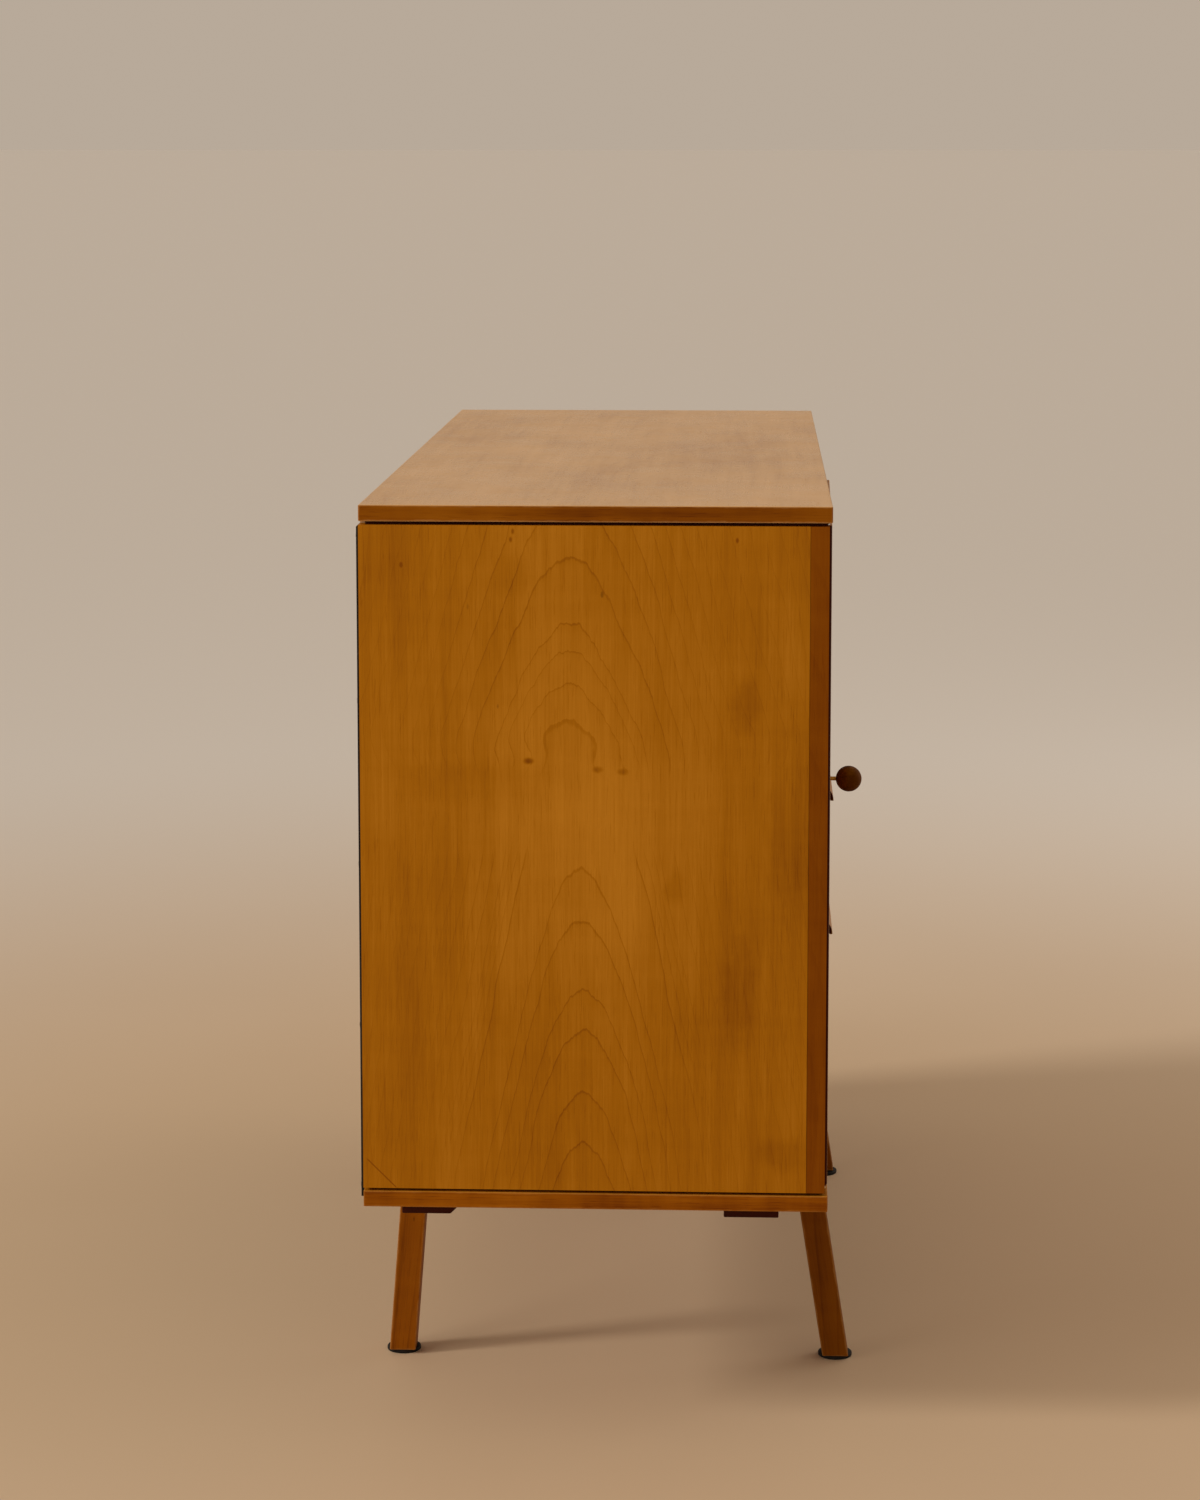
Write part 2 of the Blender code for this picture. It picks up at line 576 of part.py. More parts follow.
def build_tv_front(cabinet):
    """The fixed front: a panel with a window for the tube, one for the grille and two shaft holes."""
    middle_x = (FRONTS_LEFT + FRONTS_RIGHT) / 2
    screen = (SCREEN_X - middle_x, 0)
    grille = (GRILLE_X - middle_x, GRILLE_Z - TV_MIDDLE_Z)
    control_z = CONTROL_Z - TV_MIDDLE_Z
    outlines = [
        rectangle(FRONTS_RIGHT - FRONTS_LEFT, DOOR_TOP - TV_BOTTOM),
        rounded_rectangle(SCREEN_WIDTH, SCREEN_HEIGHT, SCREEN_CORNER, screen),
        rounded_rectangle(GRILLE_WIDTH, GRILLE_HEIGHT, GRILLE_CORNER, grille),
        circle(SHAFT_HOLE, (CHANNEL_X - middle_x, control_z)),
        circle(SHAFT_HOLE, (VOLUME_X - middle_x, control_z)),
    ]
    place = (middle_x, BOARD_FRONT + PANEL / 2, TV_MIDDLE_Z)
    plate("tv_front_panel", outlines, PANEL, "front_maple", cabinet, place, FACING_FRONT)

    depth, recess, rim = 0.013, 0.004, 0.021
    mask = [
        rounded_rectangle(SCREEN_WIDTH - 2 * GAP, SCREEN_HEIGHT - 2 * GAP, SCREEN_CORNER - GAP),
        rounded_rectangle(SCREEN_WIDTH - 2 * rim, SCREEN_HEIGHT - 2 * rim, 0.045, steps=8),
    ]
    place = (SCREEN_X, BOARD_FRONT + recess + depth / 2, TV_MIDDLE_Z)
    plate("screen_mask", mask, depth, "mask", cabinet, place, FACING_FRONT)


def build_speaker(cabinet):
    """The slotted grille in its window and the loudspeaker behind it."""
    outlines = [rounded_rectangle(GRILLE_WIDTH - 2 * GAP, GRILLE_HEIGHT - 2 * GAP, GRILLE_CORNER - GAP)]
    slots, pitch, slot, slot_height = 13, 0.0155, 0.0075, 0.134
    for i in range(slots):
        middle = ((i - (slots - 1) / 2) * pitch, 0)
        outlines.append(rounded_rectangle(slot, slot_height, slot / 2 - 0.0005, middle, 3))
    thickness = 0.010
    y = FRONT_BACK - thickness / 2
    plate("speaker_grille", outlines, thickness, "grille", cabinet, (GRILLE_X, y, GRILLE_Z), FACING_FRONT)
    cone = [
        (0.018, -0.014),
        (0.060, -0.001),
        (0.062, 0),
        (0.073, 0),
        (0.073, -0.003),
        (0.064, -0.006),
        (0.036, -0.034),
        (0.036, -0.056),
        (0, -0.056),
    ]
    profile = [(0, -0.012)] + cone
    place = (GRILLE_X, FRONT_BACK + GAP, GRILLE_Z)
    turned("loudspeaker", profile, "dark_steel", cabinet, place, FACING_FRONT)


def superellipse(half_width, half_height, power, depth, count=36):
    """A ring of points between a rectangle (high power) and an ellipse (power 2)."""
    points = []
    for i in range(count):
        angle = 2 * math.pi * i / count
        c, s = math.cos(angle), math.sin(angle)
        x = half_width * math.copysign(abs(c) ** (2 / power), c)
        y = half_height * math.copysign(abs(s) ** (2 / power), s)
        points.append((x, y, -depth))
    return points


def bulb_rings(half_width, half_height, neck, face, throat):
    """Rings of one surface of the bulb: the crowned face, the skirt and the funnel down to the neck."""
    rings = []
    for share, depth in ((0.30, 0.0005), (0.60, 0.003), (0.85, 0.008), (0.97, 0.014), (1.0, 0.022)):
        rings.append(superellipse(half_width * share, half_height * share, 6, face + depth))
    skirt, steps = 0.045, 5
    for step in range(steps + 1):
        share = step / steps
        fall = math.cos(share * math.pi / 2) ** 0.8
        wide = neck + (half_width - neck) * fall
        high = neck + (half_height - neck) * fall
        rings.append(superellipse(wide, high, 6 - 4 * share, skirt + (throat - skirt) * share))
    return rings


def build_picture_tube(cabinet):
    """Safety glass, the tube, and the yoke round its neck. The bulb is a shell, open at the neck's end."""
    glass, glass_width, glass_height = 0.005, 0.412, 0.308
    glass_y = (CASE_FRONT + GAP, CASE_FRONT + GAP + glass)
    x = (SCREEN_X - glass_width / 2, SCREEN_X + glass_width / 2)
    z = (TV_MIDDLE_Z - glass_height / 2, TV_MIDDLE_Z + glass_height / 2)
    box("safety_glass", x, glass_y, z, "clear_glass", cabinet)

    neck, throat, base = 0.0146, 0.155, 0.0175
    end = 0.298
    outside = bulb_rings(0.196, 0.147, neck, 0, throat)
    socket = [superellipse(radius, radius, 2, depth) for radius, depth in ((neck, 0.270), (base, 0.272))]
    face, wall, neck_wall = 0.009, 0.006, 0.0015
    inside = bulb_rings(0.196 - wall, 0.147 - wall, neck - neck_wall, face, throat)
    mouth = [superellipse(radius, radius, 2, end) for radius in (base, neck - neck_wall)]
    rings = outside + socket + mouth + inside[::-1]
    place = (SCREEN_X, glass_y[1] + 0.004, TV_MIDDLE_Z)
    loft("picture_tube", rings, "tube_glass", cabinet, place, FACING_FRONT)

    bore = neck + 0.001
    yoke_start, yoke_end = throat + 0.006, throat + 0.048
    profile = [
        (0.038, -yoke_start),
        (0.038, -yoke_start - 0.010),
        (0.026, -yoke_end),
        (bore, -yoke_end),
        (bore, -yoke_start),
    ]
    turned("deflection_yoke", profile, "bakelite", cabinet, place, FACING_FRONT, ring=True)


def build_chassis(cabinet):
    """The steel deck with its skirts, open below, and the mains transformer on it."""
    x, y = (0.330, 0.578), (-0.130, 0.190)
    bottom, deck = TV_SHELF[1] + GAP, 0.632
    size, middle = span(x, y, (bottom, deck))
    mesh = block_mesh("tv_chassis", size)
    shape = bmesh.new()
    shape.from_mesh(mesh)
    shape.faces.ensure_lookup_table()
    open_side = min(shape.faces, key=lambda face: face.calc_center_median().z)
    bmesh.ops.delete(shape, geom=[open_side], context="FACES_ONLY")
    shape.to_mesh(mesh)
    shape.free()
    pan = put("tv_chassis", mesh, "steel", cabinet, middle)
    wall = pan.modifiers.new("sheet", "SOLIDIFY")
    wall.thickness = 0.0016
    wall.offset = -1
    core_x, core_y, core_z = (0.350, 0.440), (0.060, 0.135), (deck + GAP, deck + 0.080)
    box("power_transformer", core_x, core_y, core_z, "dark_steel", cabinet, 0.004)


def build_control(name, x, radius, height, parent):
    """A turned knob on its shaft, about an empty on the shaft's axis."""
    axis = empty(f"{name}_axis", (x, BOARD_FRONT, CONTROL_Z), parent)
    clear, shaft = 0.001, 0.045
    waist, crown = 0.0015, 0.003
    profile = [
        (0, height - 0.0008),
        (radius - crown - 0.003, height - 0.0008),
        (radius - crown, height),
        (radius - waist, height - 0.002),
        (radius - 0.0005, clear + 0.003),
        (radius, clear),
        (SHAFT_RADIUS, clear),
        (SHAFT_RADIUS, -shaft),
        (0, -shaft),
    ]
    turned(name, profile, "knob_plastic", axis, (0, 0, 0), FACING_FRONT)


def build_television(cabinet):
    build_tv_front(cabinet)
    build_speaker(cabinet)
    build_picture_tube(cabinet)
    build_chassis(cabinet)
    build_control("channel_knob", CHANNEL_X, 0.021, 0.017, cabinet)
    build_control("volume_knob", VOLUME_X, 0.014, 0.015, cabinet)


def main():
    clear_scene()
    cabinet = empty("cabinet", (0, -MIDDLE_Y, 0))
    build_boards(cabinet)
    build_end("left", LEFT, INNER_LEFT, cabinet)
    build_end("right", RIGHT, INNER_RIGHT, cabinet)
    build_case(cabinet)
    build_rear(cabinet)
    build_stand(cabinet)
    build_door(cabinet)
    build_drawers(cabinet)
    build_television(cabinet)


main()
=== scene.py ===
"""Looks for the console television cabinet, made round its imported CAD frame.

Metres, +Z up, the front towards -Y and the left end towards -X. Every piece is made where it stands, with
its object at the origin, so a material's Object coordinates are places on the cabinet at rest.
"""
import json
import math
import random

import bmesh
import bpy
from mathutils import Matrix, Vector


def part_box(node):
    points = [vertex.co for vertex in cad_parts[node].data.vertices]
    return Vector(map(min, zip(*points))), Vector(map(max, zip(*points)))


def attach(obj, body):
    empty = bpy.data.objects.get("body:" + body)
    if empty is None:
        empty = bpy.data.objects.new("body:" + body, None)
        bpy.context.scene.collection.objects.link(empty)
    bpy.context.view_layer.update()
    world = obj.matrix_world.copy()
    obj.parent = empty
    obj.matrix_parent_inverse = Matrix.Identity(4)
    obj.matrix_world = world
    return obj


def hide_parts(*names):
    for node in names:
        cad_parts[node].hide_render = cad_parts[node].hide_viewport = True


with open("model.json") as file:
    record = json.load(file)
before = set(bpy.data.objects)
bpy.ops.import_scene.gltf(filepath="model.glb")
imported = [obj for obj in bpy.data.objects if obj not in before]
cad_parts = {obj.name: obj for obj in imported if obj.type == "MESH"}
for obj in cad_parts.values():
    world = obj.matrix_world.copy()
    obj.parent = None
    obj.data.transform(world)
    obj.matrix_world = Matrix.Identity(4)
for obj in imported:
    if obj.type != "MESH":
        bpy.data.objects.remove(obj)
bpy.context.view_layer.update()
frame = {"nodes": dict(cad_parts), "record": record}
RECORD = frame["record"]
SLOT = {row["node"]: row["material_slot"] for row in RECORD["subparts"]}
BODY = {node: body for body, nodes in RECORD["behaviour"]["bodies"].items() for node in nodes}
AXIS = {"x": 0, "y": 1, "z": 2}
DOOR_AJAR = math.radians(0.9)
TIP = 0.0002  # how near the axis the ends of turned profiles close


# ---------------- node trees
class Look:
    """A material's node tree, with a short call for each kind of node."""

    def __init__(self, name, roughness=0.5, specular=0.5, metallic=0.0, **sockets):
        self.material = bpy.data.materials.new(name)
        self.material.use_nodes = True
        self.tree = self.material.node_tree
        self.shader = self.tree.nodes["Principled BSDF"]
        self.shader.inputs["Specular IOR Level"].default_value = specular
        self.shader.inputs["Metallic"].default_value = metallic
        self.shader.inputs["Roughness"].default_value = roughness
        for name, value in sockets.items():
            self.shader.inputs[name.replace("_", " ")].default_value = value
        coordinates = self.node("ShaderNodeTexCoord")
        self.place = coordinates.outputs["Object"]
        self.facing = coordinates.outputs["Normal"]

    def node(self, kind, **settings):
        made = self.tree.nodes.new(kind)
        for key, value in settings.items():
            setattr(made, key, value)
        return made

    def feed(self, socket, value):
        """Links an output into the socket, or sets the socket's own value."""
        if isinstance(value, bpy.types.NodeSocket):
            self.tree.links.new(value, socket)
        elif value is not None:
            socket.default_value = value

    def fed(self, kind, values, output=0, places=(0, 1, 2, 3, 4), **settings):
        """A node with values fed to its inputs at these places. Returns one of its outputs."""
        made = self.node(kind, **settings)
        for place, value in zip(places, values):
            self.feed(made.inputs[place], value)
        return made.outputs[output]

    def math(self, operation, *values):
        return self.fed("ShaderNodeMath", values, operation=operation)

    def add(self, *terms):
        total = terms[0]
        for term in terms[1:]:
            total = self.math("ADD", total, term)
        return total

    def times(self, a, b):
        return self.math("MULTIPLY", a, b)

    def minus(self, a, b):
        return self.math("SUBTRACT", a, b)

    def vector(self, operation, *values):
        output = "Value" if operation == "LENGTH" else "Vector"
        return self.fed("ShaderNodeVectorMath", values, output, operation=operation)

    def split(self, vector):
        made = self.node("ShaderNodeSeparateXYZ")
        self.feed(made.inputs[0], vector)
        return list(made.outputs)

    def join(self, *parts):
        return self.fed("ShaderNodeCombineXYZ", parts)

    def noise(self, where, scale=1.0, detail=2.0, rough=0.5, distort=0.0):
        """Noise about 0.5. A scale of three numbers stretches it."""
        if not isinstance(scale, (int, float)):
            where, scale = self.vector("MULTIPLY", where, tuple(scale)), 1.0
        made = self.node("ShaderNodeTexNoise")
        self.feed(made.inputs["Vector"], where)
        numbers = {"Scale": scale, "Detail": detail, "Roughness": rough, "Distortion": distort}
        for key, value in numbers.items():
            made.inputs[key].default_value = value
        return made.outputs["Fac"]

    def cloud(self, *shape):
        """Noise at the piece's own place."""
        return self.noise(self.place, *shape)

    def cells(self, where, scale, feature="F1", output="Distance"):
        made = self.node("ShaderNodeTexVoronoi", feature=feature)
        self.feed(made.inputs["Vector"], self.vector("MULTIPLY", where, tuple(scale)))
        made.inputs["Scale"].default_value = 1.0
        return made.outputs[output]

    def step(self, value, low, high, a=0.0, b=1.0):
        """Smooth step from a, at or before low, to b, at or after high."""
        return self.fed("ShaderNodeMapRange", (value, low, high, a, b), interpolation_type="SMOOTHSTEP")

    def ramp(self, value, *stops):
        """Colours or greys at places from 0 to 1."""
        made = self.node("ShaderNodeValToRGB")
        self.feed(made.inputs[0], value)
        points = made.color_ramp.elements
        while len(points) < len(stops):
            points.new(0.5)
        for point, (at, colour) in zip(points, stops):
            point.position = at
            grey = isinstance(colour, (int, float))
            point.color = (colour, colour, colour, 1) if grey else (*colour, 1)
        return made.outputs[0]

    def mix(self, share, a, b):
        a, b = ((*value, 1) if isinstance(value, tuple) else value for value in (a, b))
        return self.fed("ShaderNodeMix", (share, a, b), 2, (0, 6, 7), data_type="RGBA")

    def switch(self, share, a, b):
        return self.fed("ShaderNodeMix", (share, a, b), 1, (0, 4, 5), data_type="VECTOR")

    def colour(self, value):
        self.feed(self.shader.inputs["Base Color"], (*value, 1) if isinstance(value, tuple) else value)

    def rough(self, value):
        self.feed(self.shader.inputs["Roughness"], value)

    def bump(self, height, distance, strength=1.0):
        made = self.node("ShaderNodeBump")
        made.inputs["Strength"].default_value = strength
        made.inputs["Distance"].default_value = distance
        self.feed(made.inputs["Height"], height)
        self.feed(self.shader.inputs["Normal"], made.outputs[0])

    def edge_distance(self, low, high, place=None):
        """Distance from a point of a box's surface to the box's nearest edge."""
        middle, half = (low + high) / 2, (high - low) / 2
        away = self.vector("ABSOLUTE", self.vector("SUBTRACT", place or self.place, tuple(middle)))
        x, y, z = self.split(self.vector("SUBTRACT", tuple(half), away))
        least = self.math("MINIMUM", self.math("MINIMUM", x, y), z)
        most = self.math("MAXIMUM", self.math("MAXIMUM", x, y), z)
        return self.minus(self.add(x, y, z), self.add(least, most))


# ---------------- maple
MAPLE = {  # slot: light, middle and dark colours, roughness, specular level
    # top_maple is paler and greyer than the other maples: partly the top's own wood, partly painted sheen
    # of its lacquer seen at a glancing angle
    "top_maple": ((0.74, 0.425, 0.170), (0.63, 0.350, 0.128), (0.44, 0.205, 0.060), 0.28, 0.20),
    "end_maple": ((0.54, 0.215, 0.014), (0.41, 0.147, 0.003), (0.24, 0.068, 0.001), 0.46, 0.05),
    "red_maple": ((0.29, 0.086, 0.002), (0.22, 0.057, 0.001), (0.13, 0.027, 0.001), 0.46, 0.03),
    "front_maple": ((0.48, 0.190, 0.014), (0.40, 0.146, 0.008), (0.24, 0.070, 0.003), 0.40, 0.16),
    "leg_maple": ((0.34, 0.106, 0.004), (0.27, 0.076, 0.002), (0.14, 0.031, 0.001), 0.46, 0.05),
    "dark_rail": ((0.060, 0.008, 0.003), (0.044, 0.006, 0.002), (0.022, 0.004, 0.001), 0.58, 0.10),
    "drawer_wood": ((0.60, 0.42, 0.23), (0.52, 0.35, 0.18), (0.36, 0.22, 0.10), 0.60, 0.25),
    "plywood": ((0.52, 0.33, 0.16), (0.44, 0.26, 0.12), (0.30, 0.16, 0.065), 0.62, 0.22),
}
MAPLE["grille_wood"] = MAPLE["front_maple"]
BANDING = ((0.36, 0.112, 0.003), (0.28, 0.078, 0.001), (0.17, 0.038, 0.001))  # edges of top and base board
WORN = (0.62, 0.36, 0.13)
FRONT_LEG_PAINTED_SHADE = 0.72  # painted shade: the front legs are darker than the rear ones, for the cabinet's shadow over them
# painted shade: near-black colour for the door's end faces and the pulls' ends, which lie in shadow
EDGE_PAINTED_SHADE = (0.050, 0.0052, 0.001)
KNOTS = ((0.083, 0.689, 0.8), (0.016, 0.681, 0.5), (-0.008, 0.679, 0.45))  # Y, Z and strength
FLECKS = ((0.098, 0.913), (-0.014, 0.933), (0.206, 0.880), (-0.118, 0.905), (0.100, 0.905))
STAINS = (  # Y, Z, half-width, half-height, strength
    (-0.122, 0.462, 0.018, 0.060, 0.20),
    (-0.128, 0.745, 0.016, 0.030, 0.20),
    (-0.060, 0.566, 0.012, 0.018, 0.20),
    (-0.175, 0.640, 0.030, 0.110, 0.14),
    (0.120, 0.668, 0.100, 0.024, 0.10),
    (-0.165, 0.300, 0.030, 0.018, 0.18),
    (0.100, 0.870, 0.022, 0.024, 0.12),
)
PEAKS = (0.309, 0.359, 0.422, 0.462, 0.532, 0.582, 0.731, 0.766, 0.798, 0.823, 0.888)  # Z of the arches
KNOT_LEVEL = 0.68
ARCH_DROP = 0.345


def arches(look, along, across):
    """The flat-sawn figure of an end panel: arches over each other that open out into straight grain.

    Above the knots the arches are broader and further back. Returns ring numbers.
    """
    add, minus, times, noise, step = look.add, look.minus, look.times, look.noise, look.step
    plain = look.join(along, across, 0.0)
    drift = minus(noise(plain, (4.0, 11.0, 1.0), 2.0), 0.5)
    wiggle = minus(noise(plain, (26.0, 85.0, 1.0), 3.0, 0.6), 0.5)
    upper = step(along, KNOT_LEVEL - 0.06, KNOT_LEVEL + 0.04)
    off = minus(across, add(0.031, times(upper, 0.014)))
    off = look.math("DIVIDE", off, add(0.058, times(upper, 0.020)))
    off = add(off, times(drift, 0.40))
    fall = minus(look.math("SQRT", add(times(off, off), 1.0)), 1.0)
    height = add(along, times(fall, ARCH_DROP), times(wiggle, 0.016))
    for y, z, _ in KNOTS[:2]:
        gap = look.vector("LENGTH", look.join(times(minus(along, z), 1.3), minus(across, y), 0.0))
        height = add(height, step(gap, 0.0, 0.040, 0.030, 0.0))
    low, high = PEAKS[0], PEAKS[-1]
    stops = [((peak - low) / (high - low), i / (len(PEAKS) - 1)) for i, peak in enumerate(PEAKS)]
    share = look.math("DIVIDE", minus(height, low), high - low)
    count = times(look.ramp(share, *stops), len(PEAKS) - 1)
    beyond = look.math("MAXIMUM", minus(height, high), 0.0)
    short = look.math("MINIMUM", minus(height, low), 0.0)
    return add(count, look.math("DIVIDE", add(beyond, short), 0.058), 20.0)


def growth(look, along, across, depth, seed):
    """Rings round a pith that lies askew under the board's face."""
    place = look.join(look.add(along, seed * 0.71), across, depth)
    drift = look.minus(look.noise(place, (1.6, 6.0, 6.0), 2.0), 0.5)
    pith = 0.035 + 0.02 * math.sin(seed * 2.3)
    lean = 0.10 + 0.05 * math.cos(seed * 1.7)
    side = look.add(across, look.times(drift, 0.07), 0.05 * math.sin(seed * 1.1))
    below = look.add(look.times(along, lean), depth, pith, look.times(drift, 0.02))
    reach = look.math("SQRT", look.add(look.times(side, side), look.times(below, below)))
    return look.math("DIVIDE", reach, 0.013)


def wood(name, slot, low, high, grain="x", wide="y", seed=1.0, figure=None, slant=0.0, worn=1.0, plies=0,
         lines=0.30, painted_shade_axis=None, lighting_tint=1.0):
    """Maple as a solid texture: growth rings, streaks, blotches, fibres, flecks, rubbed edges, lacquer.

    low and high are the board's corners. The grain runs along one axis, and the faces across it are
    banded with grain the other way. plies shows layers on a plywood board's edges, the painted-shade axis
    darkens the edges across it to near black as painted shade, slant leans the grain with a raked leg,
    figure draws an end panel's arches, and a tint below 1 darkens every colour as painted shade.
    """
    *colours, roughness, specular = MAPLE[slot]
    # a tint below 1 darkens every colour as painted shade
    light, middle, dark = (tuple(lighting_tint * part for part in colour) for colour in colours)
    look = Look(name, roughness, specular)
    add, minus, times, noise, step, mix = look.add, look.minus, look.times, look.noise, look.step, look.mix
    place = look.place
    if slant:
        x, y, z = look.split(place)
        place = look.join(x, add(y, times(minus(z, low.z), slant)), z)
    centre = (low + high) / 2
    parts = look.split(look.vector("SUBTRACT", place, tuple(centre) if figure is None else (0, 0, 0)))
    normals = look.split(look.vector("ABSOLUTE", look.facing))
    deep = ({"x", "y", "z"} - {grain, wide}).pop()
    along, across, depth = (parts[AXIS[axis]] for axis in (grain, wide, deep))
    end = step(normals[AXIS[grain]], 0.6, 0.8)
    straight = look.join(along, across, depth)
    banded = look.join(across, depth, along)
    grained = look.vector("ADD", look.switch(end, straight, banded), (seed * 3.1, seed * 1.7, seed * 0.9))

    rings = figure(look, along, across) if figure else growth(look, along, across, depth, seed)
    ring = look.math("FRACT", rings)
    if figure:
        stops = (0.0, 0.9), (0.012, 0.0), (0.60, 0.03), (0.90, 0.16), (0.955, 0.28), (0.975, 1.0)
        line = look.ramp(ring, *stops)
        aside = look.math("ABSOLUTE", minus(across, 0.035))
        line = times(line, step(aside, 0.050, 0.150, 1.0, 0.38))
        under_knots = look.math("ABSOLUTE", minus(along, KNOT_LEVEL - 0.038))
        line = times(line, step(under_knots, 0.030, 0.056, 0.12, 1.0))
    else:
        stops = (0.0, 0.0), (0.45, 0.06), (0.80, 0.30), (0.93, 1.0), (0.985, 0.75), (1.0, 0.0)
        line = look.ramp(ring, *stops)
    patchy = step(noise(grained, (5.0, 13.0, 13.0), 2.0), 0.30, 0.66, 0.6 if figure else 0.25, 1.0)
    line = times(times(line, patchy), minus(1.0, end))
    streaks = noise(grained, (2.2, 70.0, 70.0), 3.0, 0.6)
    fine = noise(grained, (12.0, 520.0, 520.0), 2.0, 0.6)
    blotches = noise(grained, (5.0, 11.0, 11.0), 3.0, 0.55)
    curl = noise(grained, (60.0, 9.0, 9.0), 2.0, 0.5)
    tone = add(
        times(minus(streaks, 0.5), 0.55),
        times(minus(fine, 0.5), 0.26 if slot == "top_maple" else 0.38),
        times(minus(blotches, 0.5), 0.62 if figure else 0.85),
        times(minus(curl, 0.5), 0.12 if figure or slot == "top_maple" else 0.28),
        times(line, lines),
        0.42,
    )
    if slot == "top_maple":
        tone = add(tone, times(minus(noise(place, (2.6, 5.0, 5.0), 3.0, 0.55), 0.5), 0.9))
    pores = step(noise(grained, (38.0, 950.0, 950.0), 1.0), 0.62, 0.72)
    tone = add(tone, times(pores, 0.16))
    if figure:
        tone = add(tone, marks(look, across, along))
    shade = look.ramp(tone, (0.0, light), (0.45, middle), (1.0, dark))
    if name.endswith("_board"):
        strength = 0.82 if slot == "top_maple" else 1.04
        bands = [tuple(strength * part for part in colour) for colour in BANDING]
        banding = look.ramp(minus(times(tone, 2.2), 0.38), *zip((0.0, 0.45, 1.0), bands))
        # the flat faces keep the slot's colours, which on the top board include painted sheen; the edges
        # take the banding
        flat = step(normals[2], 0.4, 0.7)
        shade = mix(flat, banding, shade)
        look.feed(look.shader.inputs["Specular IOR Level"], step(flat, 0.0, 1.0, 0.04, specular))

    speck = look.cells(grained, (26.0, 60.0, 60.0))
    lone = step(noise(grained, (9.0, 17.0, 17.0), 1.0), 0.60, 0.66)
    speck = times(step(speck, 0.05, 0.11, 1.0, 0.0), lone)
    shade = mix(times(speck, 0.45), shade, tuple(0.35 * part for part in dark))
    # painted shade: the faces across the given axis are darkened to near black, with little specular
    if painted_shade_axis:
        edge = step(normals[AXIS[painted_shade_axis]], 0.06, 0.26)
        shade = mix(edge, shade, mix(streaks, EDGE_PAINTED_SHADE, tuple(0.5 * part for part in EDGE_PAINTED_SHADE)))
        look.feed(look.shader.inputs["Specular IOR Level"], step(edge, 0.0, 1.0, specular, 0.01))
    if plies:
        layer = look.math("FRACT", times(add(depth, 0.5), plies))
        core = step(look.math("ABSOLUTE", minus(layer, 0.5)), 0.22, 0.28)
        edge = step(normals[AXIS[deep]], 0.6, 0.8, 1.0, 0.0)
        shade = mix(times(times(core, edge), 0.55), shade, dark)
    rub = look.edge_distance(low, high, place)
    rub = add(rub, times(noise(place, 60.0, 3.0, 0.7), -0.0034))
    rub = times(step(rub, -0.0013, 0.0004, 1.0, 0.0), worn)
    bare = mix(0.5, light, WORN)
    shade = mix(times(rub, 0.45), shade, bare)
    look.colour(shade)
    haze = noise(place, 21.0, 3.0, 0.6)
    look.rough(add(times(haze, 0.16), times(pores, 0.08), roughness - 0.08, times(rub, 0.12)))
    height = add(times(fine, 0.6), times(pores, -0.5), times(line, 0.25), times(haze, 1.2))
    look.bump(height, 0.00012, 0.55)
    return look.material


def marks(look, y, z):
    """Knots, stains, flecks and one scratch on an end panel, as an amount of darkening, and a painted pool
    of light in the panel's middle as negative darkening.
    """
    flat = look.join(0.0, y, z)

    def away(at_y, at_z, y_scale, z_scale):
        off = look.vector("SUBTRACT", flat, (0, at_y, at_z))
        return look.vector("LENGTH", look.vector("MULTIPLY", off, (0, y_scale, z_scale)))

    total = 0.0
    ragged = look.times(look.minus(look.noise(flat, 45.0, 3.0, 0.6), 0.5), 1.1)
    for at_y, at_z, wide, high, strength in STAINS:
        edge = look.add(away(at_y, at_z, 1 / wide, 1 / high), ragged)
        total = look.add(total, look.step(edge, 0.35, 1.25, strength, 0.0))
    for at_y, at_z, strength in KNOTS:
        edge = look.add(away(at_y, at_z, 210.0, 330.0), look.times(ragged, 0.6))
        total = look.add(total, look.step(edge, 0.3, 1.5, strength, 0.0))
    for at_y, at_z in FLECKS:
        total = look.add(total, look.step(away(at_y, at_z, 600.0, 330.0), 0.3, 1.3, 0.6, 0.0))
    # painted light: a broad pool of light in the panel's middle, lightening the wood
    total = look.add(total, look.step(away(0.035, 0.66, 5.2, 2.4), 0.0, 1.0, -0.30, 0.02))
    scratch = look.step(look.math("ABSOLUTE", look.add(look.minus(y, z), 0.047)), 0.0003, 0.0011, 0.7, 0.0)
    upto = look.times(look.step(z, 0.260, 0.264), look.step(z, 0.288, 0.292, 1.0, 0.0))
    return look.add(total, look.times(scratch, upto))


# ---------------- other materials
def enamel(name, colour, roughness=0.4, grain=420.0, depth=0.00006, chip=(0.25, 0.24, 0.22)):
    """Paint on metal, with a fine orange-peel skin and small chips."""
    look = Look(name, roughness)
    cloud = look.cloud(14.0, 4.0, 0.6)
    shade = look.mix(look.step(cloud, 0.3, 0.75, 0.0, 0.6), colour, tuple(0.6 * part for part in colour))
    chips = look.step(look.cloud(95.0, 4.0, 0.7), 0.70, 0.74)
    look.colour(look.mix(chips, shade, chip))
    look.rough(look.add(look.times(cloud, 0.25), roughness - 0.12))
    look.bump(look.cloud(grain, 2.0), depth, 0.7)
    return look.material


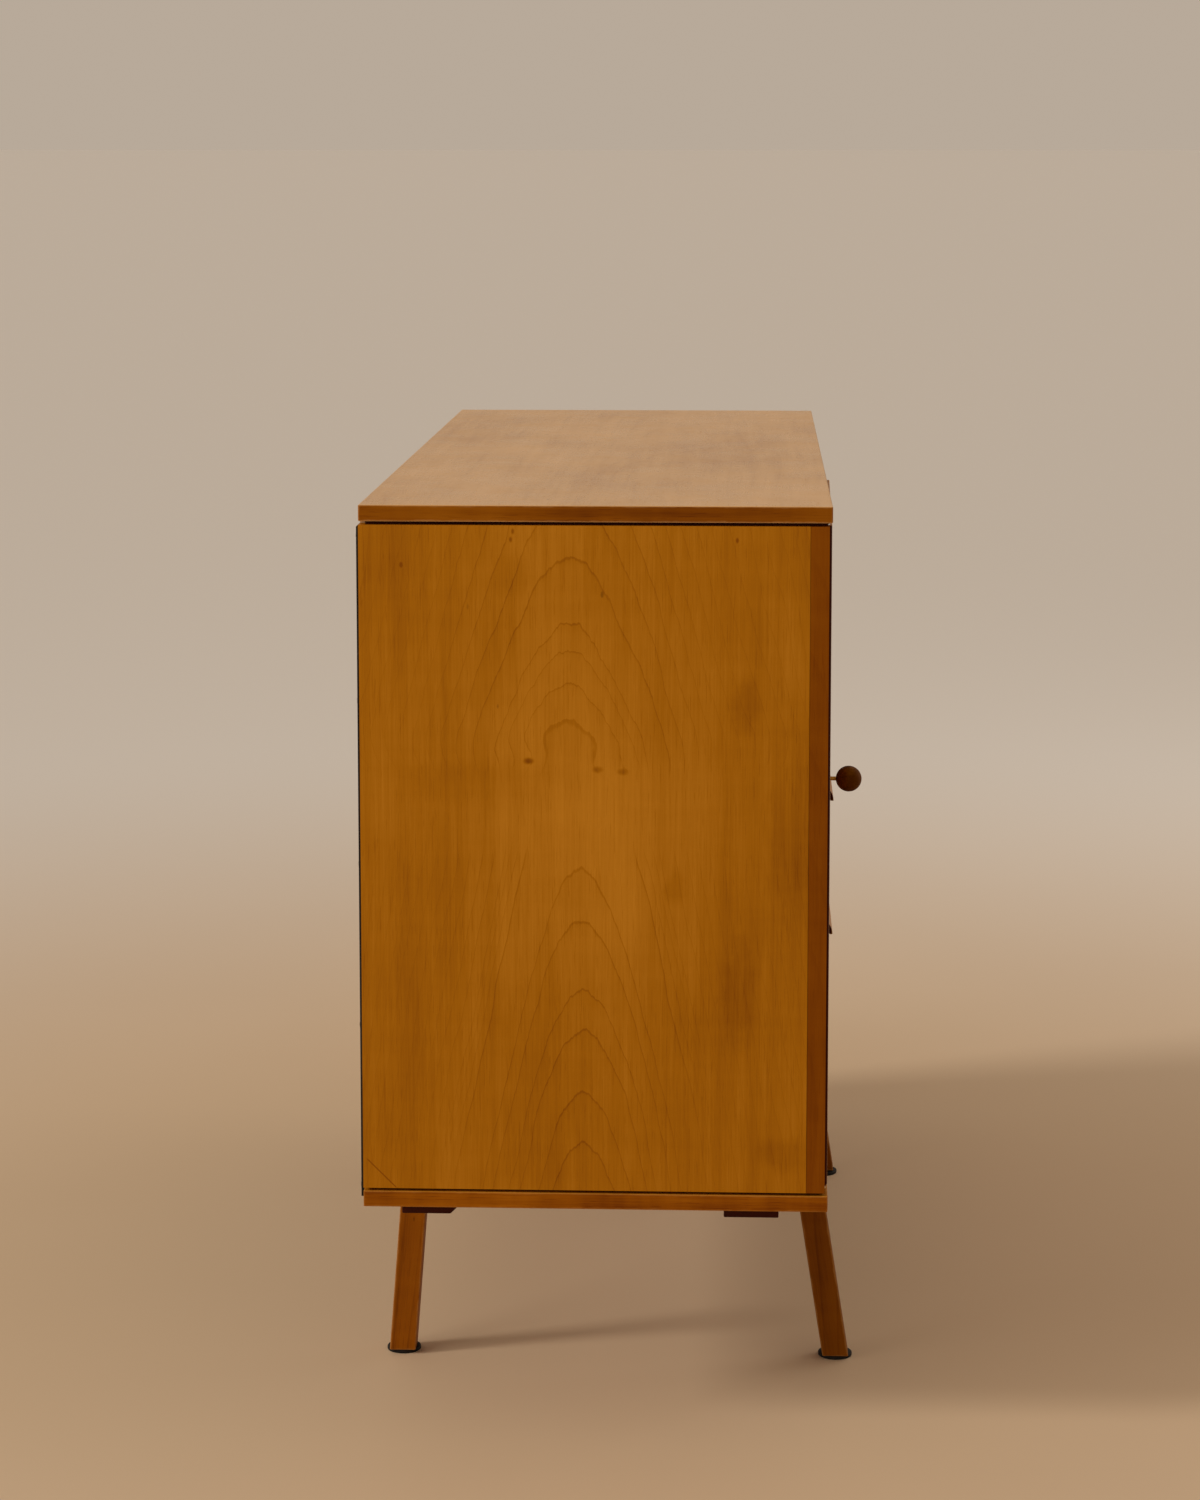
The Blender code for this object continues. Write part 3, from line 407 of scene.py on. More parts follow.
def metal(name, bright, dull, roughness=0.35, spin=None, coverage=0.5, lines=2600.0):
    """Turned or rolled metal with tarnish. spin is a point on the axis along Y of turned work."""
    look = Look(name, roughness, metallic=1.0)
    cloud = look.cloud(55.0, 5.0, 0.62)
    spots = look.cloud(260.0, 3.0, 0.7)
    tarnish = look.step(look.add(cloud, look.times(spots, 0.35)), 0.92 - coverage, 1.10 - coverage * 0.7)
    look.colour(look.mix(tarnish, bright, dull))
    look.rough(look.add(look.times(tarnish, 0.22), look.times(spots, 0.12), roughness - 0.08))
    if spin is None:
        groove = look.cloud((30.0, lines, lines), 2.0)
    else:
        x, _, z = look.split(look.vector("SUBTRACT", look.place, tuple(spin)))
        reach = look.vector("LENGTH", look.join(x, 0.0, z))
        groove = look.noise(look.join(reach, 0.0, 0.0), lines, 2.0)
    look.bump(look.add(groove, look.times(tarnish, 0.6)), 0.00004, 0.5)
    return look.material


def moulded(name, colour, swirl, roughness=0.26):
    """Phenolic plastic with the flow marks of its mould."""
    look = Look(name, roughness)
    flow = look.cloud((26.0, 60.0, 90.0), 4.0, 0.6, 1.6)
    look.colour(look.mix(look.step(flow, 0.42, 0.66), colour, swirl))
    dull = look.cloud(130.0, 4.0, 0.7)
    look.rough(look.add(look.times(dull, 0.22), roughness - 0.08))
    look.bump(look.cloud(700.0, 2.0), 0.00002, 0.6)
    return look.material


def fibreboard():
    """Black hardboard: pressed fibres, scuffs, and dust that clings towards the bottom."""
    look = Look("black_fibreboard", 0.7, 0.04)
    fibres = look.cloud((210.0, 210.0, 900.0), 4.0, 0.7, 0.8)
    cloud = look.cloud(6.0, 4.0, 0.6)
    scuff = look.step(look.cloud((14.0, 20.0, 75.0), 5.0, 0.72), 0.60, 0.70)
    shade = look.mix(fibres, (0.010, 0.009, 0.008), (0.026, 0.022, 0.018))
    shade = look.mix(look.times(scuff, 0.35), shade, (0.085, 0.062, 0.042))
    low = look.step(look.split(look.place)[2], 0.25, 0.75, 0.09, 0.02)
    dust = look.times(look.step(cloud, 0.35, 0.75), low)
    look.colour(look.mix(dust, shade, (0.30, 0.26, 0.21)))
    look.rough(look.add(look.times(fibres, 0.25), 0.62))
    look.bump(fibres, 0.00020, 0.7)
    return look.material


def rubber():
    look = Look("black_rubber", 0.6, 0.08)
    grit = look.cloud(300.0, 4.0, 0.7)
    dusty = look.step(look.cloud(40.0, 3.0), 0.4, 0.7, 0.0, 0.15)
    shade = look.mix(grit, (0.008, 0.007, 0.007), (0.020, 0.018, 0.016))
    look.colour(look.mix(dusty, shade, (0.10, 0.08, 0.06)))
    look.rough(look.add(look.times(grit, 0.3), 0.42))
    look.bump(grit, 0.0001, 0.6)
    return look.material


def window_glass():
    look = Look("safety_glass", 0.0, 0.5, Transmission_Weight=1.0, IOR=1.46)
    smear = look.cloud((9.0, 9.0, 30.0), 4.0, 0.65)
    look.colour(look.mix(smear, (0.93, 0.96, 0.95), (0.84, 0.89, 0.87)))
    return look.material


def bulb_glass(face, neck):
    """The tube from its face back: grey-green phosphor, a black coating on the funnel, and bare glass."""
    look = Look("bulb_glass", 0.1, 0.5, Coat_Weight=0.6, Coat_Roughness=0.03)
    depth = look.split(look.place)[1]
    mottle = look.cloud(16.0, 4.0, 0.6)
    screen = look.mix(mottle, (0.115, 0.135, 0.122), (0.085, 0.102, 0.094))
    coating = look.mix(look.cloud(90.0, 4.0, 0.7), (0.012, 0.012, 0.013), (0.045, 0.044, 0.042))
    bare = look.mix(mottle, (0.055, 0.070, 0.066), (0.030, 0.040, 0.038))
    shade = look.mix(look.step(depth, face + 0.030, face + 0.034), screen, bare)
    shade = look.mix(look.step(depth, face + 0.050, face + 0.053), shade, coating)
    shade = look.mix(look.step(depth, neck, neck + 0.003), shade, bare)
    look.colour(shade)
    look.rough(look.step(look.cloud(30.0, 4.0, 0.7), 0.4, 0.75, 0.10, 0.13))
    return look.material


def woven(name, warp, weft, thread=0.0009):
    """Plain weave in the XZ plane: threads that pass over and under each other."""
    look = Look(name, 0.75, 0.2, Sheen_Weight=0.25, Sheen_Roughness=0.5)
    x, _, z = look.split(look.place)
    turn = math.pi / thread
    across = look.math("SINE", look.times(x, turn))
    down = look.math("SINE", look.times(z, turn))
    over = look.step(look.times(across, down), -0.15, 0.15)
    slub = look.cloud((40.0, 40.0, 900.0), 3.0, 0.7)
    shade = look.mix(over, warp, weft)
    look.colour(look.mix(look.times(slub, 0.5), shade, tuple(0.35 * part for part in warp)))
    look.rough(look.add(look.times(slub, 0.3), 0.55))
    crown = look.add(look.math("ABSOLUTE", across), look.math("ABSOLUTE", down), look.times(slub, 0.4))
    look.bump(crown, 0.00022, 0.9)
    return look.material


# ---------------- making pieces
def add_object(name, data):
    made = bpy.data.objects.new(name, data)
    bpy.context.scene.collection.objects.link(made)
    return made


def show(name, shape, material, body="cabinet", smooth=35.0):
    """A piece from a bmesh: shaded smooth up to an angle, riding on a body."""
    mesh = bpy.data.meshes.new(name)
    bmesh.ops.recalc_face_normals(shape, faces=shape.faces)
    shape.to_mesh(mesh)
    shape.free()
    if "custom_normal" in mesh.attributes:
        mesh.attributes.remove(mesh.attributes["custom_normal"])
    mesh.shade_smooth()
    mesh.set_sharp_from_angle(angle=math.radians(smooth))
    mesh.materials.clear()
    mesh.materials.append(material)
    piece = add_object(name, mesh)
    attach(piece, body)
    return piece


def stand_for(node, shape, material, smooth=35.0):
    """A finer piece in a CAD node's place and on its body, with the CAD node hidden."""
    piece = show(f"{node}_fine", shape, material, BODY[node], smooth)
    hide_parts(node)
    return piece


def round_edges(piece, width, segments=3):
    """Rounds a piece's arrises and keeps its flat faces flat in shading."""
    edge = piece.modifiers.new("arris", "BEVEL")
    edge.width = width
    edge.segments = segments
    edge.limit_method = "ANGLE"
    edge.angle_limit = math.radians(32)
    piece.data.shade_smooth()
    piece.modifiers.new("normals", "WEIGHTED_NORMAL")
    return piece


def cad_shape(node):
    """A CAD node's mesh with its flat faces made whole again."""
    shape = bmesh.new()
    shape.from_mesh(frame["nodes"][node].data)
    bmesh.ops.remove_doubles(shape, verts=shape.verts, dist=0.000002)
    flat = math.radians(0.5)
    bmesh.ops.dissolve_limit(shape, angle_limit=flat, verts=shape.verts, edges=shape.edges)
    return shape


def softened(node, material, width, segments=3):
    """A CAD node's own shape with its arrises rounded."""
    return round_edges(stand_for(node, cad_shape(node), material), width, segments)


def block(low, high, shape=None):
    """A box between two corners, in a new bmesh or in the one given."""
    shape = shape or bmesh.new()
    low, high = Vector(low), Vector(high)
    place = Matrix.Translation((low + high) / 2) @ Matrix.Diagonal((*(high - low), 1.0))
    bmesh.ops.create_cube(shape, size=1.0, matrix=place)
    return shape


def skin(shape, rings, closed_ends=True, loop=False):
    """Faces between rings of points, which all have the same number."""
    rows = [[shape.verts.new(point) for point in ring] for ring in rings]
    count = len(rows[0])
    following = rows[1:] + ([rows[0]] if loop else [])
    for upper, lower in zip(rows, following):
        for i in range(count):
            j = (i + 1) % count
            shape.faces.new((upper[i], upper[j], lower[j], lower[i]))
    if closed_ends and not loop:
        shape.faces.new(rows[0])
        shape.faces.new(rows[-1])
    return shape


def lathe(profile, place, segments=72, shape=None, loop=False):
    """Turned work: (radius, height) points, with the piece's own Z carried to the cabinet by a matrix."""
    shape = shape or bmesh.new()
    rings = []
    for radius, height in profile:
        turns = [2 * math.pi * i / segments for i in range(segments)]
        rings.append([place @ Vector((radius * math.cos(t), radius * math.sin(t), height)) for t in turns])
    return skin(shape, rings, loop=loop)


def arc(centre, radius, start, end, steps):
    """Points of an arc from one angle to another, in degrees."""
    angles = [math.radians(start + (end - start) * i / steps) for i in range(steps + 1)]
    return [(centre[0] + radius * math.cos(a), centre[1] + radius * math.sin(a)) for a in angles]


def facing(point, direction):
    """Places a piece at a point with its own Z along a direction."""
    turn = Vector(direction).to_track_quat("Z", "Y").to_matrix().to_4x4()
    return Matrix.Translation(Vector(point)) @ turn


def rounded_frame(width, height, radius, centre, y, steps=10):
    """Points of a rounded rectangle in the XZ plane about a centre, at a Y."""
    place = Vector((centre.x, 0, centre.z))
    points = []
    for quarter, (sx, sz) in enumerate(((1, 1), (-1, 1), (-1, -1), (1, -1))):
        corner = (sx * (width / 2 - radius), sz * (height / 2 - radius))
        for x, z in arc(corner, radius, 90 * quarter, 90 * quarter + 90, steps):
            points.append(place + Vector((x, y, z)))
    return points


# ---------------- wooden pieces
BOARDS = {  # node: grain, width axis, radius of its arrises
    "top_board": ("x", "y", 0.0012),
    "base_board": ("x", "y", 0.0010),
    "left_side_lipping": ("z", "y", 0.00015),
    "right_side_lipping": ("z", "y", 0.00015),
    "left_side_panel": ("z", "y", 0.00015),
    "right_side_panel": ("z", "y", 0.00015),
    "case_top": ("x", "y", 0.0004),
    "case_bottom": ("x", "y", 0.0004),
    "divider_panel": ("z", "y", 0.0004),
    "tv_shelf": ("x", "y", 0.0004),
    "fixed_shelf": ("x", "y", 0.0006),
    "front_batten": ("x", "y", 0.0012),
    "rear_batten": ("x", "y", 0.0012),
    "left_leg_rail": ("y", "z", 0.0010),
    "right_leg_rail": ("y", "z", 0.0010),
    "door_panel": ("z", "x", 0.0007),
    "tv_front_panel": ("x", "z", 0.0008),
    "speaker_grille": ("z", "x", 0.0006),
}
for name in ("upper_drawer", "lower_drawer"):
    BOARDS[f"{name}_front"] = ("x", "z", 0.0007)
    BOARDS[f"{name}_back"] = ("x", "z", 0.0006)
    BOARDS[f"{name}_bottom"] = ("x", "y", 0.0003)
    for side in ("left", "right"):
        BOARDS[f"{name}_{side}_side"] = ("y", "z", 0.0007)
        BOARDS[f"{name}_{side}_runner"] = ("y", "x", 0.0006)
SHAPED = {"rear_batten", "left_leg_rail", "right_leg_rail", "door_panel", "tv_front_panel"}
SHAPED |= {"speaker_grille"} | {node for node in BOARDS if "drawer" in node and node.endswith("_side")}


def make_boards():
    """The straight boards, and those whose CAD shape has windows, notches or grooves."""
    for number, (node, (grain, wide, radius)) in enumerate(BOARDS.items()):
        low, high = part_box(node)
        thickness = min(high - low)
        figure = arches if node == "left_side_panel" else None
        plies = 3.5 / thickness if SLOT[node] == "plywood" else 0
        worn = 1.0 if SLOT[node] == "front_maple" else 0.5 if node.endswith("_board") else 0.0
        lines = {"top_board": 0.12, "left_side_lipping": 0.10, "right_side_lipping": 0.10}.get(node, 0.30)
        lines = 0.40 if figure else lines
        # painted shade on the door's end faces, which lie in the side panel's shadow
        painted_shade_axis = "x" if node == "door_panel" else None
        finish = wood(
            node, SLOT[node], low, high, grain, wide, number + 1.37,
            figure, worn=worn, plies=plies, lines=lines, painted_shade_axis=painted_shade_axis,
        )
        shape = cad_shape(node) if node in SHAPED else block(low, high)
        round_edges(stand_for(node, shape, finish), radius)


def make_reveals():
    """Strips, set back from the ends, that close the reveals over and under the side panels, coloured near
    black as painted shade of the gaps.
    """
    top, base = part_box("top_board")[0].z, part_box("base_board")[1].z
    for side, sign in (("left", -1), ("right", 1)):
        panel_low, panel_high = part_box(f"{side}_side_panel")
        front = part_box(f"{side}_side_lipping")[0].y
        outer = panel_low.x if sign < 0 else panel_high.x
        inner = panel_high.x if sign < 0 else panel_low.x
        across = sorted((outer - sign * 0.009, inner - sign * 0.0005))
        for level, bottom, roof in (("upper", panel_high.z, top), ("lower", base, panel_low.z)):
            low = Vector((across[0], front + 0.0015, bottom + 0.0001))
            high = Vector((across[1], panel_high.y - 0.006, roof - 0.0001))
            name = f"{side}_{level}_reveal"
            # painted shade: the near-black rail colour stands in for the shade in the reveal gaps
            finish = wood(name, "dark_rail", low, high, "y", "x", 71.0 + sign + len(level), worn=0.0)
            round_edges(show(name, block(low, high), finish), 0.0002, 2)


def make_legs():
    """Raked legs, with the grain along each leg, and the front ones darkened as painted shade."""
    for number, side in enumerate(("left", "right")):
        for end in ("rear", "front"):
            node = f"{side}_{end}_leg"
            mesh = frame["nodes"][node].data
            low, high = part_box(node)
            top = [v.co.y for v in mesh.vertices if v.co.z > high.z - 0.0005]
            foot = [v.co.y for v in mesh.vertices if v.co.z < low.z + 0.0005]
            slant = -((min(top) + max(top)) - (min(foot) + max(foot))) / 2 / (high.z - low.z)
            foot_low = Vector((low.x, min(foot) - 0.001, low.z))
            foot_high = Vector((high.x, max(foot) + 0.001, high.z))
            # the front legs get painted shade: their colours are scaled down
            finish = wood(
                node, SLOT[node], foot_low, foot_high, "z", "y", 31.7 + number * 3 + len(end),
                slant=slant, lighting_tint=FRONT_LEG_PAINTED_SHADE if end == "front" else 1.0,
            )
            rows = []
            for level in (low.z, high.z):
                shift = -slant * (level - low.z)
                near, far = foot_low.y + shift, foot_high.y + shift
                corners = (low.x, near), (high.x, near), (high.x, far), (low.x, far)
                rows.append([(x, y, level) for x, y in corners])
            round_edges(stand_for(node, skin(bmesh.new(), rows), finish), 0.0013)


def pull_outline(reach, drop, root=0.008, tip=0.0036, steps=18):
    """Section of a lip pull, as (out from the face, down from its top): two quarter ellipses."""
    quarter = [math.pi / 2 * i / steps for i in range(steps + 1)]
    outer = [(reach * math.sin(a), drop * (1 - math.cos(a))) for a in quarter]
    inner = [((reach - tip) * math.sin(a), drop - (drop - root) * math.cos(a)) for a in quarter]
    return outer + inner[::-1]


def make_pulls():
    for number, name in enumerate(("upper_drawer_pull", "lower_drawer_pull")):
        low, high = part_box(name)
        outline = pull_outline(high.y - low.y, high.z - low.z)
        rows = [[(x, high.y - out, high.z - down) for out, down in outline] for x in (low.x, high.x)]
        shape = skin(bmesh.new(), rows)
        # painted shade on the pulls' ends, which stand out into the cabinet's shadow
        finish = wood(name, SLOT[name], low, high, "x", "z", 51.3 + number, painted_shade_axis="x")
        round_edges(stand_for(name, shape, finish, 50.0), 0.0007)


# ---------------- metal, feet and rear
def make_door_knob():
    """The ball on its stem, set square to the door, which rests ajar."""
    low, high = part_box("door_knob")
    out = Vector((-math.sin(DOOR_AJAR), -math.cos(DOOR_AJAR), 0))
    radius = (high.z - low.z) / 2
    centre = Vector(((low.x + high.x) / 2, low.y + radius, (low.z + high.z) / 2))
    stem, foot_radius, foot = 0.0022, 0.0045, 0.0015
    reach = (high.y - centre.y) / math.cos(DOOR_AJAR)
    seat = math.degrees(math.asin(stem / radius))
    ball = [(TIP, radius)] + arc((0, 0), radius, 89, 2, 26) + arc((0, 0), radius, -2, seat - 90, 26)
    ball += [(TIP, -radius * 0.98)]
    rod = [(TIP, -radius * 0.9), (stem, -radius * 0.9), (stem, -reach + foot + 0.001)]
    rod += arc((stem + 0.001, -reach + foot + 0.001), 0.001, 180, 270, 4)
    rod += arc((foot_radius - 0.0006, -reach + foot - 0.0006), 0.0006, 90, 0, 4)
    rod += [(foot_radius, -reach), (TIP, -reach)]
    place = facing(centre, out)
    patina = metal("aged_brass", (0.190, 0.066, 0.002), (0.120, 0.035, 0.001), 0.52, centre, 0.5)
    stand_for("door_knob", lathe(ball, place), patina)
    handled = metal("handled_brass", (0.62, 0.34, 0.07), (0.34, 0.17, 0.030), 0.38, centre, 0.4)
    show("door_knob_stem", lathe(rod, place), handled, BODY["door_knob"])


def make_round_metal():
    steel = metal("plated_steel", (0.55, 0.53, 0.50), (0.20, 0.15, 0.10), 0.30, None, 0.35)
    brass = metal("bush_brass", (0.62, 0.40, 0.15), (0.26, 0.14, 0.05), 0.30, None, 0.45)
    for end in ("upper", "lower"):
        softened(f"{end}_pivot_pin", steel, 0.0002, 2)
        softened(f"{end}_pivot_bush", brass, 0.0002, 2)
    return steel


def make_glides():
    """Round pads with a softened rim and a shallow dish for the nail."""
    material = rubber()
    for side in ("left", "right"):
        for end in ("rear", "front"):
            node = f"{side}_{end}_glide"
            low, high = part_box(node)
            radius, height = (high.x - low.x) / 2, high.z - low.z
            soft = 0.0011
            profile = [(TIP, height)] + arc((radius - soft, height - soft), soft, 90, 0, 4)
            profile += arc((radius - soft, soft), soft, 0, -90, 4)
            profile += [(0.005, 0.0), (0.004, 0.0012), (TIP, 0.0012)]
            place = facing(((low.x + high.x) / 2, (low.y + high.y) / 2, low.z), (0, 0, 1))
            stand_for(node, lathe(profile, place, 48), material)


def screw_heads(name, spots, direction, radius, material, body="cabinet", seed=5):
    """Domed screw heads with a slot each, turned at random, as one piece."""
    turns = random.Random(seed)
    shape = bmesh.new()
    cells, around = 12, 24
    slot_half, slot_depth, height = radius * 0.13, radius * 0.22, radius * 0.42
    for spot in spots:
        place = facing(spot, direction) @ Matrix.Rotation(turns.uniform(0, math.pi), 4, "Z")
        grid = {}
        for i in range(cells + 1):
            for j in range(around):
                share = i / cells
                turn = 2 * math.pi * j / around
                x, y = radius * share * math.cos(turn), radius * share * math.sin(turn)
                level = height * math.sqrt(max(0.0, 1 - share ** 2.6))
                if abs(y) < slot_half:
                    level -= slot_depth * (1 - share ** 8)
                grid[i, j] = shape.verts.new(place @ Vector((x, y, level)))
        for i in range(cells):
            for j in range(around):
                k = (j + 1) % around
                shape.faces.new((grid[i, j], grid[i + 1, j], grid[i + 1, k], grid[i, k]))
        shape.faces.new([grid[cells, j] for j in range(around)])
    bmesh.ops.remove_doubles(shape, verts=shape.verts, dist=0.000001)
    return show(name, shape, material, body, 30.0)


def make_rear(steel):
    """The black cover, its screws in cup washers, and the mains inlet with its two pins."""
    softened("rear_cover", fibreboard(), 0.0004, 2)
    low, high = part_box("rear_cover")
    inset = 0.010
    across = [low.x + inset + (high.x - low.x - 2 * inset) * i / 6 for i in range(7)]
    up = [low.z + inset + (high.z - low.z - 2 * inset) * i / 4 for i in range(1, 4)]
    spots = [(x, high.y, z) for x in across for z in (low.z + inset, high.z - inset)]
    spots += [(x, high.y, z) for x in (low.x + inset, high.x - inset) for z in up]
    screw_heads("rear_cover_screws", spots, (0, 1, 0), 0.0036, steel)
    shape = bmesh.new()
    washer = [(0.0058, 0.0), (0.0050, 0.0007), (0.0040, 0.0009), (0.0033, 0.0004), (0.0033, 0.0)]
    for spot in spots:
        lathe(washer, facing(spot, (0, 1, 0)), 28, shape, loop=True)
    show("rear_cover_washers", shape, steel)

    bakelite = moulded("bakelite", (0.018, 0.009, 0.006), (0.050, 0.020, 0.010))
    softened("mains_inlet", bakelite, 0.0007)
    low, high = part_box("mains_inlet")
    centre = (low + high) / 2
    shape = bmesh.new()
    pin = [(TIP, 0.015), (0.0009, 0.0148), (0.0014, 0.0140)]
    pin += [(0.0016, 0.0130), (0.0016, 0.0), (TIP, 0.0)]
    for side in (-0.0058, 0.0058):
        lathe(pin, facing((centre.x + side, low.y + 0.006, centre.z), (0, 1, 0)), 24, shape)
    show("mains_inlet_pins", shape, steel)
    return bakelite


def make_catch(steel, bakelite):
    """The magnetic catch: a moulded body, two pole plates and a screw, and its plate on the door."""
    low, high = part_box("door_catch")
    shape = block((low.x, low.y + 0.0012, low.z), high)
    round_edges(stand_for("door_catch", shape, bakelite), 0.0016)
    poles = bmesh.new()
    for share in (0.30, 0.70):
        x = low.x + (high.x - low.x) * share
        block((x - 0.0012, low.y, low.z + 0.005), (x + 0.0012, low.y + 0.010, high.z - 0.005), poles)
    round_edges(show("door_catch_poles", poles, steel), 0.0003, 2)
    centre = (low + high) / 2
    spots = [(low.x, centre.y, z) for z in (low.z + 0.007, high.z - 0.007)]
    screw_heads("door_catch_screws", spots, (-1, 0, 0), 0.0026, steel, seed=8)
    softened("door_strike", steel, 0.0003, 2)
    low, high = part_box("door_strike")
    centre = (low + high) / 2
    out = (math.sin(DOOR_AJAR), math.cos(DOOR_AJAR), 0)
    face = Vector((centre.x, high.y - 0.0001, centre.z))
    screw_heads("door_strike_screw", [face], out, 0.0022, steel, "door", 9)


# ---------------- television
VALVES = (  # X, Y, radius and height above the deck
    (0.372, -0.06, 0.011, 0.055), (0.415, -0.02, 0.011, 0.055), (0.50, 0.02, 0.011, 0.052),
    (0.545, 0.10, 0.017, 0.095), (0.50, 0.145, 0.015, 0.080), (0.545, -0.05, 0.011, 0.052),
)


def make_screen(gold):
    """The mask with its sloping sides, its gilt bead, the glass and the tube behind it."""
    low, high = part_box("screen_mask")
    centre = (low + high) / 2
    width, height = high.x - low.x, high.z - low.z
    inner = 0.021
    steps = [  # how far in from the outside, and how far back
        (0.0, 0.0015, 0.030), (0.0004, 0.0006, 0.030), (0.0012, 0.0, 0.0295), (0.0030, 0.0, 0.030),
        (0.0042, 0.0008, 0.031), (0.0060, 0.0022, 0.032), (0.0120, 0.0060, 0.038),
        (0.0180, 0.0092, 0.043), (inner - 0.0012, 0.0108, 0.045), (inner - 0.0002, 0.0118, 0.045),
        (inner, 0.0128, 0.045), (inner - 0.001, 0.0130, 0.045), (0.0, 0.0130, 0.030),
    ]
    rings = [
        rounded_frame(width - 2 * inward, height - 2 * inward, radius, centre, low.y + back)
        for inward, back, radius in steps
    ]
    shape = skin(bmesh.new(), rings, loop=True)
    bronze = enamel("bronze_paint", (0.125, 0.080, 0.042), 0.42, 900.0, 0.00012)
    stand_for("screen_mask", shape, bronze, 40.0)

    bead = []
    for turn in range(12):
        angle = 2 * math.pi * turn / 12
        inward, back = 0.0021 + 0.0011 * math.cos(angle), 0.0002 + 0.0010 * math.sin(angle)
        bead.append(rounded_frame(width - 2 * inward, height - 2 * inward, 0.030, centre, low.y + back))
    show("screen_bead", skin(bmesh.new(), bead, loop=True), gold, smooth=60.0)

    softened("safety_glass", window_glass(), 0.0006)

    low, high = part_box("picture_tube")
    centre = (low + high) / 2
    face, end = low.y, high.y
    half_width, half_height = (high.x - low.x) / 2, (high.z - low.z) / 2
    neck, throat, skirt = 0.0146, 0.155, 0.045
    bulge = (  # share of the half-sizes, and how far behind the face's middle
        (0.02, 0.0), (0.15, 0.0001), (0.30, 0.0005), (0.45, 0.0015), (0.60, 0.003), (0.74, 0.0052),
        (0.85, 0.008), (0.92, 0.0108), (0.97, 0.0140), (0.99, 0.0170), (1.0, 0.022),
    )
    rings = [oval(half_width * share, half_height * share, 6, face + depth) for share, depth in bulge]
    for step in range(21):
        share = step / 20
        fall = math.cos(share * math.pi / 2) ** 0.8
        wide, tall = neck + (half_width - neck) * fall, neck + (half_height - neck) * fall
        rings.append(oval(wide, tall, 6 - 4 * share, face + skirt + (throat - skirt) * share))
    for radius, depth in ((neck, end - face - 0.030), (0.0175, end - face - 0.028), (0.0175, end - face)):
        rings.append(oval(radius, radius, 2, face + depth))
    place = Vector((centre.x, 0, centre.z))
    rings = [[point + place for point in ring] for ring in rings]
    stand_for("picture_tube", skin(bmesh.new(), rings), bulb_glass(face, face + throat), 50.0)


def oval(half_width, half_height, power, y, count=96):
    """A ring of points between a rectangle (high power) and an ellipse (power 2)."""
    points = []
    for i in range(count):
        c, s = math.cos(2 * math.pi * i / count), math.sin(2 * math.pi * i / count)
        x = half_width * math.copysign(abs(c) ** (2 / power), c)
        z = half_height * math.copysign(abs(s) ** (2 / power), s)
        points.append(Vector((x, y, z)))
    return points


def make_speaker():
    """Cloth stretched behind the grille, puffed a little between its bars, and the loudspeaker."""
    low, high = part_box("speaker_grille")
    centre = (low + high) / 2
    margin = 0.006
    width, height = high.x - low.x - 2 * margin, high.z - low.z - 2 * margin
    columns, rows, pitch = 168, 40, 0.0155
    back = high.y + 0.00012
    shape = bmesh.new()
    grid = []
    for j in range(rows + 1):
        line = []
        for i in range(columns + 1):
            x = -width / 2 + width * i / columns
            z = -height / 2 + height * j / rows
            slot = max(0.0, math.cos(2 * math.pi * x / pitch)) ** 0.7
            ends = min(1.0, max(0.0, (0.067 - abs(z)) / 0.006))
            inside = 1.0 if abs(x) < 6.5 * pitch else 0.0
            puff = 0.0011 * slot * ends * inside
            line.append(shape.verts.new((centre.x + x, back - puff, centre.z + z)))
        grid.append(line)
    for lower, upper in zip(grid, grid[1:]):
        for i in range(columns):
            shape.faces.new((lower[i], lower[i + 1], upper[i + 1], upper[i]))
    cloth = show("speaker_cloth", shape, woven("grille_cloth", (0.30, 0.20, 0.09), (0.55, 0.40, 0.20)),
                 smooth=180.0)
    paper = enamel("speaker_frame", (0.035, 0.033, 0.031), 0.55)
    stand_for("loudspeaker", cad_shape("loudspeaker"), paper, 40.0)


def fluted(name, crown, flutes, depth, material):
    """A control knob with finger flutes round its side, in place of the plain turned one."""
    low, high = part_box(name)
    axis = (low + high) / 2
    radius = (high.x - low.x) / 2
    front, back = low.y, high.y
    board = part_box("tv_front_panel")[0].y
    height = board - front
    around = flutes * 8
    rings = []
    profile = [  # radius, distance out from the board, and share of the flutes' depth
        (TIP, height - 0.0012, 0), (radius * 0.55, height - 0.0012, 0),
        (radius * 0.62, height - 0.0008, 0), (radius - crown - 0.0010, height, 0),
        (radius - crown * 0.45, height - 0.0004, 0.5), (radius - crown * 0.15, height - 0.0018, 1),
        (radius - 0.0006, height * 0.5, 1), (radius - 0.0003, 0.0042, 1),
        (radius - 0.0001, 0.0034, 0), (radius, 0.0028, 0), (radius, 0.0014, 0),
        (radius - 0.0004, 0.0010, 0), (0.003, 0.0010, 0),
        (0.003, board - back, 0), (TIP, board - back, 0),
    ]
    for reach, out, share in profile:
        ring = []
        for i in range(around):
            turn = 2 * math.pi * i / around
            inward = reach - depth * share * max(0.0, math.cos(turn * flutes)) ** 1.5
            ring.append((axis.x + inward * math.cos(turn), board - out, axis.z + inward * math.sin(turn)))
        rings.append(ring)
    stand_for(name, skin(bmesh.new(), rings), material, 42.0)
    return axis, radius, front


